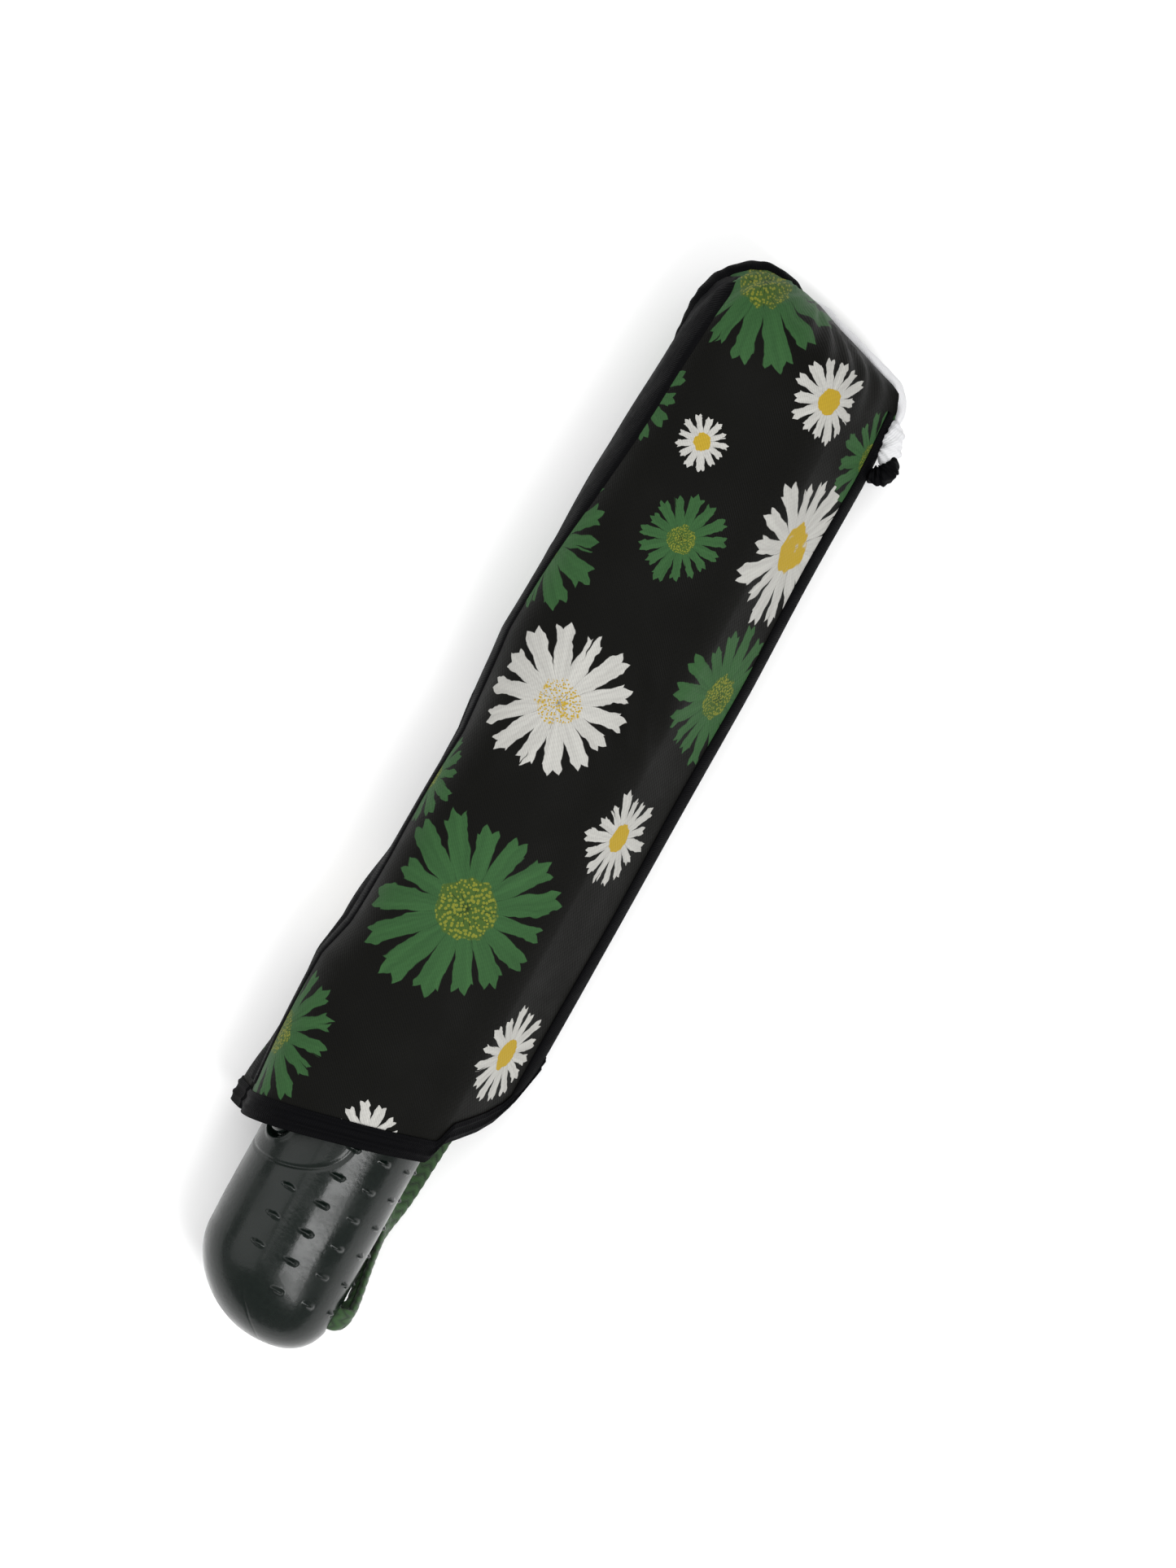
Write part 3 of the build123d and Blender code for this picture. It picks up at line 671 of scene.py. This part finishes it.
def sleeve_section(count):
    """Upper and lower outline (x, z) from the right seam to the left side, in millimetres."""
    radius = sleeve_r / mm
    angle = np.linspace(crease_angle, math.pi, 900)
    # left of the top the section is a superellipse |x|^2.7 + |z|^2.7 = r^2.7, flatter on top
    power = np.where(angle < math.pi / 2, 1.0, 2 / panel_flatness)
    fine_x = np.sign(np.cos(angle)) * np.abs(np.cos(angle)) ** power * radius
    fine_z = radius * (1 + np.abs(np.sin(angle)) ** power)
    fine_x, fine_z = np.append(seam[0], fine_x), np.append(seam[1], fine_z)
    walk = np.append(0, np.cumsum(np.hypot(np.diff(fine_x), np.diff(fine_z))))
    gone = np.linspace(0, walk[-1], count)
    x = np.interp(gone, walk, fine_x)
    z = np.interp(gone, walk, fine_z)
    # underneath, the cloth lies on the floor and rolls up to the circle at the left
    circle = radius - np.sqrt(np.clip(radius ** 2 - x ** 2, 0, None))
    under = np.where(x < rest_left, np.minimum(circle, 0.7 * (rest_left - x)), 0.0)
    under = np.where(x < roll_left, circle, under)
    under = np.where(x > 31, (x - 31) / 2 * seam[1], under)
    return gone, x, z, np.clip(under, 0, None)


def sleeve_points(along, out=0.0):
    """S(u, v): the section stretched to the left and right outlines, from mouth to closed end.
    along is u, 0 at the mouth and 1 at the end; out moves the surface outwards, in millimetres."""
    gone, x, top, under = sleeve_section(section_points)
    x_all = np.concatenate([x, x[-2:0:-1]])
    z_all = np.concatenate([top, under[-2:0:-1]])
    radius = sleeve_r / mm
    along = np.asarray(along)
    if along.ndim == 1:
        along = np.repeat(along[:, None], len(x_all), 1)
    mouth = np.interp(x_all, *mouth_line)
    end = np.interp(x_all, *end_line)
    station = mouth + (end - mouth) * along
    left = np.interp(station, *left_line) / radius
    right = np.interp(station, *right_line) / seam[0]
    outer = smooth_step(np.abs(x_all), 8, 24)
    x_now = x_all * (1 + outer * (np.where(x_all < 0, left, right) - 1))
    z_now = np.broadcast_to(z_all, x_now.shape)
    # the closed end: the height falls on a blunt curve to a seam above the floor
    closing = np.clip((station - (end - 27)) / 27, 0, 1)
    fall = np.sqrt(np.clip(1 - closing ** 3.2, 0, 1))
    lift = np.sqrt(np.clip(1 - np.clip((station - (end - 9)) / 9, 0, 1) ** 2, 0, 1))
    seam_z = 13.0 + 0.1 * np.abs(x_all)
    z_now = np.where(z_now > seam_z, seam_z + (z_now - seam_z) * fall, seam_z + (z_now - seam_z) * lift)
    # slack cloth: long shallow folds, a few short ones by the mouth, none on the floor
    angle = np.arctan2(z_now - radius, x_now)
    free = smooth_step(z_now, 2, 12) * (1 - smooth_step(along, 0.9, 1.0))
    fold = 0.35 * np.sin(2.6 * angle + station / 17) * np.sin(station / 23 + 1.3)
    fold += 0.22 * np.sin(5.1 * angle - station / 11 + 0.6) * smooth_step(np.abs(angle - 1.2), 0.2, 1.2)
    pull = np.exp(-((x_now - 9) / 9) ** 2 - ((station - 176) / 13) ** 2)
    fold += 0.42 * pull * np.sin((x_now * 0.75 + station * 0.5) * 0.9)
    gather = smooth_step(station, 262, 284) * np.sin(angle * 17 + station * 0.12) * 0.45
    fold = fold * free + gather * (1 - smooth_step(along, 0.985, 1.0)) * smooth_step(z_now, 4, 14)
    fold -= 0.3 * np.exp(-((x_now - crease_x - 6) / 4) ** 2) * free
    points = np.stack([x_now, station, z_now], -1)
    corner = np.exp(-((np.degrees(angle) + 158) / 17) ** 2)
    flare = 5.4 * (1 - smooth_step(station, 52, 86)) + 3.2 * np.exp(-((station - 107) / 15) ** 2)
    points[..., 0] -= corner * flare
    normal = normals_of(points, around=True)
    middle = np.array([0, 0, radius])
    outward = np.sign(((points - middle) * normal * [1, 0, 1]).sum(-1, keepdims=True))
    normal *= np.where(outward == 0, 1, outward)
    points = points + normal * (fold + out)[..., None]
    points[..., 2] = np.maximum(points[..., 2], 0.02)
    below = slice(section_points - 1, None)
    lower_run = np.cumsum(np.hypot(np.diff(x_all[below]), np.diff(z_all[below])))
    zero = np.interp(0.0, x[::-1], gone[::-1])
    flat_x = np.concatenate([zero - gone, zero - gone[-1] - lower_run])
    flat = np.stack([np.broadcast_to(flat_x, x_now.shape), station], -1)
    return placed(points), flat * mm


def flat_across(x):
    """Cloth coordinate of a point of the sleeve's top seen at x."""
    gone, xs = sleeve_section(400)[:2]
    zero = np.interp(0.0, xs[::-1], gone[::-1])
    return float(np.interp(x, xs[::-1], (zero - gone)[::-1]))


# %% [markdown]
# ## The sleeve's flowers
# The print is scattered: large green and white daisies with small ones between. Those on
# top are placed where they are seen; the rest, on the back panel, are placed on the flat cloth.

# %% Flowers of the sleeve: x as seen, station, radius, turn, green, petals, eye filled
seen_flowers = [
    (-11.7, 285.5, 22.5, 0.3, 1, 14, 0.1), (16.2, 267.5, 11.5, 1.1, 0, 14, 0.9),
    (-6, 243.5, 7.2, 0.6, 0, 13, 1.0), (-23.8, 247, 14, 2.1, 1, 13, 0.2),
    (31.6, 262, 15, 0.9, 1, 14, 0.2), (1.0, 220.5, 11.2, 1.7, 1, 15, 0.0),
    (26, 233, 21, 2.6, 0, 15, 0.6), (-24.6, 205.5, 20.5, 0.2, 1, 13, 0.1),
    (-5.7, 172, 18.6, 3.3, 0, 14, 0.42), (27, 192.5, 19, 1.9, 1, 15, 0.0),
    (22.8, 150.6, 12.6, 0.8, 0, 15, 0.8), (-24.5, 142, 13, 2.9, 1, 13, 0.2),
    (-0.8, 118, 25, 1.3, 1, 15, 0.0), (24.6, 91, 13, 2.2, 0, 14, 0.9),
    (-24.2, 69.5, 19, 0.4, 1, 15, 0.1), (4.8, 57.5, 9.5, 1.5, 0, 13, 0.8)]
sleeve_flowers = [(flat_across(x), *rest) for x, *rest in seen_flowers]
sleeve_flowers += [
    (-56, 106, 19, 1.2, 0, 15, 0.1), (-92, 78, 11, 0.7, 1, 14, 0.0), (-78, 128, 16, 2.0, 1, 15, 0.1),
    (-104, 118, 12, 0.4, 0, 13, 0.9), (-62, 158, 8, 1.9, 0, 13, 1.0), (-98, 160, 22, 2.4, 0, 15, 0.1),
    (-66, 196, 19, 0.1, 1, 15, 0.1), (-104, 206, 13, 1.3, 1, 14, 0.0), (-80, 236, 20, 2.7, 0, 14, 0.1),
    (-58, 262, 13, 0.5, 1, 14, 0.0), (-106, 250, 10, 1.5, 0, 13, 0.9), (-84, 276, 15, 0.2, 1, 14, 0.1)]

# %% Sleeve cloth
sleeve_rows = np.concatenate([np.linspace(0, 0.88, 150), np.linspace(0.88, 1, 34)[1:]])
points, flat = sleeve_points(sleeve_rows)
sleeve_cloth = surface("sleeve_cloth", points, flat, around=True)
print_flowers(sleeve_cloth, sleeve_flowers)
face_out(close_points(sleeve_cloth, 2e-5))
thicken(sleeve_cloth, 0.45 * mm)
finish_piece(sleeve_cloth, printed, "sleeve", "sleeve_cloth", "sleeve")

# %% [markdown]
# ## Binding of the mouth
# Black tape is folded over the mouth's edge and sewn down with two rows of stitches, which leave
# two ridges. It follows the sleeve's own formula, a little further out, so that it lies on the
# cloth wherever that goes.


# %% Hem tape
def hem_tape(name, depth=6.2, rows=34):
    """Wraps the mouth: out over the edge and back inside; out = 0.4 + ridges, in = -0.95."""
    t = np.linspace(0, 1, rows)
    fold_at, overhang, usual_length = 0.62, 1.0, 230.0
    outside = t < fold_at
    deep = np.where(outside, depth * (1 - t / fold_at), depth * (t - fold_at) / (1 - fold_at))
    ridge = 0.45 * np.exp(-((deep - 2.2) / 0.55) ** 2) + 0.4 * np.exp(-((deep - 4.9) / 0.5) ** 2)
    out = np.where(outside, 0.4 + ridge, -0.95)
    edge = np.exp(-(deep / 0.9) ** 2)
    out = out * (1 - edge) + edge * np.where(outside, 0.3, -0.4)
    points, flat = sleeve_points((deep - overhang) / usual_length, out=out[:, None])
    flat[..., 1] = (t * 2 * depth * mm)[:, None]
    return surface(name, points, flat[..., ::-1], around=True)


mouth_tape = hem_tape("mouth_binding")
thicken(face_out(mouth_tape), 0.25 * mm)
finish_piece(mouth_tape, tape, "sleeve", "sleeve_cloth")

# %% [markdown]
# ## Tapes along the side seams
# A tape covers each side seam from the mouth to the closed end. It is a strip of the same surface
# between two lines on the cloth, raised a little so that its edges look rolled.


# %% Side tapes
def side_tape(name, low, high, inner, outer, raise_to, rows=150, cols=14):
    """Strip of the sleeve between two cloth lines inner(s) and outer(s), raised at its middle."""
    along = np.linspace(low, high, rows)
    points, flat = sleeve_points(along)
    normal = (sleeve_points(along, out=1.0)[0] - points) / mm
    share = np.linspace(0, 1, cols)
    station = flat[:, 0, 1] / mm
    start = np.interp(station, *inner)
    stop = np.interp(station, *outer)
    want = start[:, None] + (stop - start)[:, None] * share[None, :]
    held = np.zeros((rows, cols, 3))
    order = np.argsort(flat[0, :, 0])
    shape = np.sin(math.pi * share) ** 0.35 * raise_to + 0.05
    for k in range(rows):
        across = flat[k, order, 0] / mm
        for axis in range(3):
            base = np.interp(want[k], across, points[k, order, axis])
            lean_out = np.interp(want[k], across, normal[k, order, axis])
            held[k, :, axis] = base + lean_out * shape * mm
    cloth = np.stack([want * mm, np.broadcast_to(station[:, None] * mm, want.shape)], -1)
    return surface(name, held, cloth)


seen_edge = [-24.9, -24.8, -24.6, -24.2, -24.3, -23.6, -21.9, -19.9, -18.8, -17.5]
left_inner = ([48, 92, 110, 150, 185, 205, 225, 245, 262, 300], [flat_across(x) for x in seen_edge])
left_outer = ([48, 300], [flat_across(-25.19) - 7] * 2)
left_tape = side_tape("left_seam_tape", 0.03, 0.985, left_inner, left_outer, 0.7)
right_end = flat_across(32.99)
right_inner = ([80, 300], [right_end - 5.6, right_end - 5.0])
right_outer = ([80, 300], [right_end - 0.2, right_end - 0.2])
right_tape = side_tape("right_seam_tape", 0.02, 0.97, right_inner, right_outer, 0.8)
for strip in (left_tape, right_tape):
    thicken(face_out(strip), 0.3 * mm)
    finish_piece(strip, tape, "sleeve", "sleeve_cloth")

# %% [markdown]
# ## The gathered end
# At the closed end the side tape is drawn together and runs round the corner in a puffy roll, the
# back panel's pale print shows as a thin fold along the far edge, and the tape's tail is knotted
# at the right. Each is a section carried along a short path, swollen and creased by a formula.


# %% Rolls and knots
def soft_roll(name, route, sizes, creases, depth, rows=150, cols=30):
    """P(t, a) = route(t) + W w(t) cos a + N h(t) sin a, times 1 + depth sin(creases t + 3 a)."""
    route = np.array(route, float)
    length = walked(route)[-1]
    t = np.linspace(0, 1, rows)
    line = rounded_line(point_at(t * length, route), 11)
    ahead = np.gradient(line, axis=0)
    ahead /= np.linalg.norm(ahead, axis=1, keepdims=True)
    wide = np.cross(ahead, [0, 0, 1.0])
    wide /= np.linalg.norm(wide, axis=1, keepdims=True)
    up = np.cross(wide, ahead)
    a = np.linspace(0, 2 * math.pi, cols, endpoint=False)
    ends = np.sqrt(np.clip(1 - (2 * t - 1) ** 8, 0, 1))
    width, height = (np.interp(t, np.linspace(0, 1, len(sizes)), side) * ends for side in zip(*sizes))
    ripple = 1 + depth * (np.sin(creases * t[:, None] + 3 * a[None, :])
                          + 0.6 * np.sin(creases * 2.3 * t[:, None] - 2 * a[None, :] + 1))
    points = (line[:, None] + wide[:, None] * (width[:, None] * ripple * np.cos(a))[..., None]
              + up[:, None] * (height[:, None] * ripple * np.sin(a))[..., None])
    flat = np.stack(np.broadcast_arrays(a[None, :] * 2 * mm, t[:, None] * length * mm), -1)
    return face_out(close_points(surface(name, placed(points), flat, around=True)))


pale, tree, shader = material("pale_print")
uv = node(tree, "ShaderNodeUVMap", uv_map="cloth")
cloth_mm = node(tree, "ShaderNodeVectorMath", {0: uv, "Scale": 1 / mm}, operation="SCALE")
weave = place_group(tree, twill, {"Cloth": cloth_mm, "Pitch": 0.8})
# the pale print takes the weave's painted shade: darker in its grooves, lighter on its ribs
pale_dark, pale_light = colour(150, 150, 152), colour(205, 205, 207)
feed(tree, shader, Base_Color=blend_colour(tree, weave["Shade"], pale_dark, pale_light),
     Roughness=ramp(tree, weave["Shade"], 0.7, 1.2, 0.7, 0.55),
     Normal=bump(tree, weave["Height"], 0.4, 0.08 * mm))

# route, half sizes (wide, high), number of creases, their depth, rows
corner_roll = soft_roll(
    "corner_gather",
    [(-22.4, 258, 30), (-22.6, 270, 28.5), (-21.4, 280, 27), (-17.2, 286.6, 27.5), (-12, 289.4, 28),
     (-6, 289.6, 27), (-1, 288.6, 23)],
    [(1.6, 1.6), (2.6, 2.4), (3.8, 3.4), (3.4, 3.0), (2.4, 2.2), (1.0, 1.0)], 34, 0.045)
pale_fold = soft_roll(
    "pale_end_fold",
    [(-3, 290.3, 14), (4, 289.8, 14), (10, 287.6, 14), (20, 284.8, 15), (29, 282.2, 15.5),
     (33, 277.5, 16), (33.6, 272, 16)],
    [(0.5, 0.9), (1.3, 1.6), (1.4, 1.6), (1.2, 1.4), (1.3, 1.4), (1.2, 1.2)], 30, 0.05)
pale_tab = soft_roll(
    "pale_tail", [(32.6, 274, 17), (34.6, 270, 18.5), (35.4, 266, 18.0), (35.0, 262.5, 17)],
    [(1.2, 1.0), (2.3, 1.4), (2.6, 1.5), (1.6, 1.4)], 17, 0.12, 80)
knot = soft_roll(
    "tape_knot",
    [(32.8, 259.5, 16), (35.0, 259.4, 17.5), (37.2, 261.0, 18.5), (37.4, 264.0, 18.0), (35.6, 265.2, 16.5)],
    [(1.6, 1.5), (2.3, 2.2), (2.5, 2.4), (2.0, 2.0), (1.2, 1.3)], 21, 0.13, 90)
for roll, look in ((corner_roll, tape), (pale_fold, pale), (pale_tab, pale), (knot, tape)):
    finish_piece(roll, look, "sleeve", "sleeve_cloth")

# %% [markdown]
# ## The handle
# Two glossy moulded halves with rows of small raised drops for grip. The radius is a function of
# the station and the angle round the shaft; the drops, the line round the button's panel and the
# joint between the halves are added to that radius, so they are real shape and not just shading.

# %% Handle surface
shell_end = (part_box("handle_shell_front")[1].y - handle_tip) / mm
button_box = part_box("button")
button_middle = (button_box[0] + button_box[1]) / 2
button_angle = math.atan2(button_middle.x, button_middle.z - shaft_z)
button_station = (button_middle.y - handle_tip) / mm - 1.0


def handle_half(name, start, end, rows=230, cols=200):
    """P(s, a) = axis + (c(s) + r sin a, r cos a); r = outline + drops - grooves, in millimetres."""
    radius = handle_r / mm
    t = np.linspace(0, 1, rows)
    dome, dome_share = 20.0, 0.35
    bend = np.clip(t / dome_share, 0, 1)
    straight = np.clip(t - dome_share, 0, 1) / (1 - dome_share)
    station = dome * (1 - np.cos(bend * math.pi / 2)) + straight * (shell_end - dome)
    round_end = np.clip(1 - station / dome, 0, 1)
    centre = 3.2 * round_end ** 1.6 - 0.25 * smooth_step(station, 17, 30)
    angle = np.linspace(start, end, cols)
    s, a = np.meshgrid(station, angle, indexing="ij")
    blunt = 2.3 + 0.3 * np.sin(a)
    outline = radius * (1 - round_end[:, None] ** blunt) ** (1 / blunt)
    # drops for grip, in columns every 28 degrees and rows every 7.8 mm
    degrees = np.degrees(a)
    first_column, column_step, first_row, row_step, last_row = -18, 28, 15, 7.8, 5
    column = np.round((degrees - first_column) / column_step) * column_step + first_column
    row = np.clip(np.round((s - first_row) / row_step), 0, last_row) * row_step + first_row
    across = (degrees - column) * math.pi / 180 * radius
    length = s - row
    taper = 0.62 + 0.25 * np.clip(across / 1.8, -1, 1)
    drop = np.clip(1 - (across / 2.0) ** 2 - (length / taper) ** 2, 0, 1) ** 0.6
    size = np.interp(column, [-18, 10, 40, 66, 400], [0.8, 1.15, 0.7, 0.7, 0.8])
    allowed = ((column > -20) & (column < 250)) & ~((column < 0) & ((row > 40) | (row < 20)))
    r = outline + drop * size * allowed * smooth_step(s, 9, 13)
    # the line round the button's panel, and the strap's slot
    around = (a - button_angle) * radius
    ring = np.hypot(around / 21.5, (s - button_station) / 12.6)
    r = r - 0.35 * np.exp(-((ring - 1) * 12.6 / 0.35) ** 2)
    slot = np.hypot((s - 13) / 3.9, np.degrees(a - math.pi / 2) / 13.5)
    r = r - 2.6 * (1 - smooth_step(slot, 0.8, 1.0))
    # a faint mould line on the dome, the joint between the halves, and the button's well
    line_x = np.interp(s, [0, 5.2, 9.5, 14], [6.6, 1.0, -2.8, -5.0])
    seen_x = centre[:, None] + r * np.sin(a)
    on_dome = (np.cos(a) > 0) * (1 - smooth_step(s, 9, 15))
    r = r - 0.12 * np.exp(-((seen_x - line_x) / 0.3) ** 2) * on_dome
    joint = np.minimum(np.abs(a - start), np.abs(a - end)) * radius
    r = r - 0.3 * np.exp(-(joint / 0.3) ** 2) * smooth_step(s, 2, 6)
    well = np.hypot(around / 4.7, np.clip(np.abs(s - button_station) - 2.6, 0, None) / 4.7)
    r = r - 1.6 * (1 - smooth_step(well, 0.93, 1.04))
    r = r + 0.35 * np.exp(-((well - 1.18) / 0.12) ** 2)
    r = np.maximum(r, 0)
    points = round_shaft(r, a, s)
    points[..., 0] += centre[:, None] * mm
    cloth = np.stack([a * radius * mm, s * mm], -1)
    return close_points(surface(name, points, cloth, flip=True))


for name, start, end, node_name in (
        ("handle_front", -math.pi / 2, math.pi / 2, "handle_shell_front"),
        ("handle_back", math.pi / 2, math.pi * 1.5, "handle_shell_back")):
    half = handle_half(name, start, end)
    thicken(half, 1.2 * mm)
    finish_piece(half, finishes["handle_plastic"], "handle", "handle_plastic", node_name)

# %% [markdown]
# ## The push button
# An oblong dished key that stands a millimetre proud. It is a grid on the same curved wall: the
# outline is a rounded oblong, its rim is rounded and its middle is hollowed for the thumb.


# %% Button
def dished_key(name, rings=26, cols=96):
    """P(q, b): oblong outline scaled by q; height = top - rim^4 roll + dish, on the handle's curve."""
    q = np.linspace(0, 1, rings)
    b = np.linspace(0, 2 * math.pi, cols, endpoint=False)
    wide, straight = 3.9, 2.5
    edge_x = wide * np.cos(b)
    edge_y = wide * np.sin(b) + straight * np.tanh(np.sin(b) * 6)
    across = q[:, None] * edge_x[None, :]
    length = q[:, None] * edge_y[None, :]
    radius = handle_r / mm
    height = 1.05 - 1.3 * np.clip((q - 0.82) / 0.18, 0, 1) ** 3 - 0.45 * (1 - q ** 2) ** 1.5
    foot = np.full((2, cols), -2.6)
    depth = np.concatenate([np.repeat(height[:, None], cols, 1), foot])
    across = np.concatenate([across, across[-1:], across[-1:] * 0])
    length = np.concatenate([length, length[-1:], length[-1:] * 0])
    points = round_shaft(radius + depth, button_angle + across / radius, button_station + length)
    cloth = np.stack([across * mm, length * mm], -1)
    return face_out(close_points(surface(name, points, cloth, around=True)))


key = dished_key("push_button")
finish_piece(key, finishes["button_plastic"], "button", "button_plastic", "button")

# %% [markdown]
# ## The folded canopy
# When the sleeve is off, the canopy shows as eight leaves of pleated cloth round the frame, one on
# each end rib. Each is a closed pleated shape: a slice of the ring round the bundle, with folds
# that run along it and grow towards the hem.

# %% Canopy leaf
leaf_low = (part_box("canopy_gore_1")[0].y - handle_tip) / mm
leaf_high = (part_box("canopy_gore_1")[1].y - handle_tip) / mm
inner_r, outer_r = 17.35, 23.4
half_leaf = math.radians(21.2)
leaf_flowers = [(4, 112, 17, 0.3, 0, 15, 0.1), (30, 138, 14, 1.2, 1, 14, 0.0), (3, 170, 10, 0.8, 1, 15, 0.0),
                (26, 190, 19, 2.1, 0, 15, 0.1), (-6, 215, 13, 2.9, 0, 14, 0.9), (8, 243, 12, 0.5, 1, 14, 0.0)]


def canopy_leaf(name, azimuth, number, rows=110, cols=72):
    """P(s, b): b goes round the slice of ring; outer folds 0.5 sin(9 b + s / 19), hem waves at low s."""
    t = np.linspace(0, 1, rows)
    station = leaf_low + (leaf_high - leaf_low) * t
    b = np.linspace(0, 1, cols, endpoint=False)
    is_outer = b < 0.5
    sweep = np.where(is_outer, -1 + 4 * b, 3 - 4 * b)
    s, sweep_all = np.meshgrid(station, sweep, indexing="ij")
    closing = np.clip((t - 0.93) / 0.07, 0, 1)[:, None]
    pleat = np.sin(sweep_all * 7.5 + s / 21 + number) * 0.32 + np.sin(sweep_all * 13 - s / 9) * 0.16
    outer = outer_r - 0.55 + pleat - 0.8 * np.abs(sweep_all) ** 6
    lowest = inner_r + 0.05 + 0.6 * np.abs(sweep_all) ** 6
    r = np.where(is_outer[None, :], outer, lowest)
    r = r + ((outer_r + inner_r) / 2 - r) * (0.85 * closing ** 2)
    angle = math.radians(azimuth) + sweep_all * half_leaf * (1 - 0.25 * closing ** 2)
    hem = (1 - t[:, None]) ** 8
    ragged = 1.6 * np.sin(sweep_all * 5 + number * 1.7) * hem
    points = with_end_points(round_shaft(r, angle, s + ragged + 1.7 * hem))
    flat = np.stack([(sweep_all * 9 + number * 13 % 30) * mm, s * mm], -1)
    flat = np.concatenate([flat[:1], flat, flat[-1:]])
    leaf = surface(name, points, flat, around=True)
    print_flowers(leaf, leaf_flowers)
    return face_out(close_points(leaf))


rib_step = 360 / 8
for number in range(1, 9):
    leaf = canopy_leaf(f"canopy_leaf_{number}", rib_step * (number - 0.5), number)
    finish_piece(leaf, printed, f"tail_rib_{number}", "canopy_cloth", f"canopy_gore_{number}")

# %% [markdown]
# ## Springs
# A coil is a small circle carried along a helix. The runner's spring closes up as the runner
# rises; here its coil is fixed to the top tube, and the button's spring only gets a mesh of its own.


# %% Coil
def coil(name, radius, wire, low, high, turns, sides=8, steps=18):
    """P(t, a) = helix(t) + wire (cos a outwards, sin a along), radii in millimetres."""
    t = np.linspace(0, turns, int(turns * steps))
    rise = low + (high - low) * t / turns
    angle = np.linspace(0, 2 * math.pi, sides, endpoint=False)
    turn, r, y = np.broadcast_arrays(t[:, None] * 2 * math.pi, radius + wire / 2 * np.cos(angle)[None, :],
                                     rise[:, None] + wire / 2 * np.sin(angle)[None, :])
    return face_out(close_points(surface(name, with_end_points(round_shaft(r, turn, y)), around=True)))


spring_low = (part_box("runner_spring")[0].y - handle_tip) / mm
spring_high = (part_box("runner_spring")[1].y - handle_tip) / mm
runner_coil = coil("runner_coil", 7.8, 0.75, spring_low + 0.5, spring_high - 0.5, 46)
finish_piece(runner_coil, finishes["spring_steel"], "top_tube", "spring_steel", "runner_spring")
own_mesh(runner_coil)
button_turn = math.radians(-53)
core_top, foot_station = 7.5, 59.3
spring_foot = round_shaft(core_top, button_turn, foot_station)
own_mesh(bpy.data.objects["button_spring"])

# %% [markdown]
# ## The sleeve's own meshes
# The sleeve is one tube of cloth with its tapes sewn on; each of its pieces gets a mesh of its own.
# It has to be off before the frame opens.

# %% Sleeve pieces' own meshes
sleeve_trim = (mouth_tape, left_tape, right_tape, corner_roll, pale_fold, pale_tab, knot)
for piece in (sleeve_cloth, *sleeve_trim):
    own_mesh(piece)

# %% [markdown]
# ## The floor
# A plain pale sheet just under the umbrella, so that it shows as lying on something.

# %% Floor
floor_half, floor_drop = 3, 0.3 * mm
floor_corners = [[(x, y, -floor_drop) for x in (-floor_half, floor_half)] for y in (-floor_half, floor_half)]
floor_mesh = surface("floor", np.array(floor_corners, float))
floor_white, tree, shader = material("pale_floor")
place = node(tree, "ShaderNodeTexCoord", out=3)
floor_tone = blend_colour(tree, noise(tree, place, 3.0), colour(250, 250, 250), colour(255, 255, 255))
feed(tree, shader, Base_Color=floor_tone, Roughness=0.9, Specular_IOR_Level=0.1)
floor_mesh.data.materials.append(floor_white)

# %% [markdown]
# ## Light
# Soft studio light: one broad lamp above, a long one to the right for the stripe of gloss along
# the handle, and a weak fill from the left.


# %% Lights
def lamp(name, place, aim, power, width, height):
    """A soft rectangular lamp that looks at a point."""
    light = bpy.data.lights.new(name, "AREA")
    light.shape = "RECTANGLE"
    light.size, light.size_y, light.energy = width, height, power
    made = bpy.data.objects.new(name, light)
    made.location = place
    from_to = np.array(aim, float) - np.array(place, float)
    made.rotation_euler = Vector(from_to).to_track_quat("-Z", "Y").to_euler()
    bpy.context.scene.collection.objects.link(made)
    return made


lamp("top_light", (-0.15, 0.45, 1.5), (0, 0, 0), 13, 1.4, 1.4)
lamp("stripe_light", (0.62, -0.3, 0.95), (0, -0.1, 0.02), 9, 0.3, 0.8)
lamp("fill_light", (-1.0, -0.2, 0.9), (0, 0, 0.02), 6, 1.1, 1.1)
world = bpy.data.worlds.new("studio")
bpy.context.scene.world = world
world.use_nodes = True
sky = world.node_tree.nodes["Background"]
sky.inputs[0].default_value = (1, 1, 1, 1)
sky.inputs[1].default_value = 0.5
bpy.context.scene.view_settings.view_transform = "Standard"
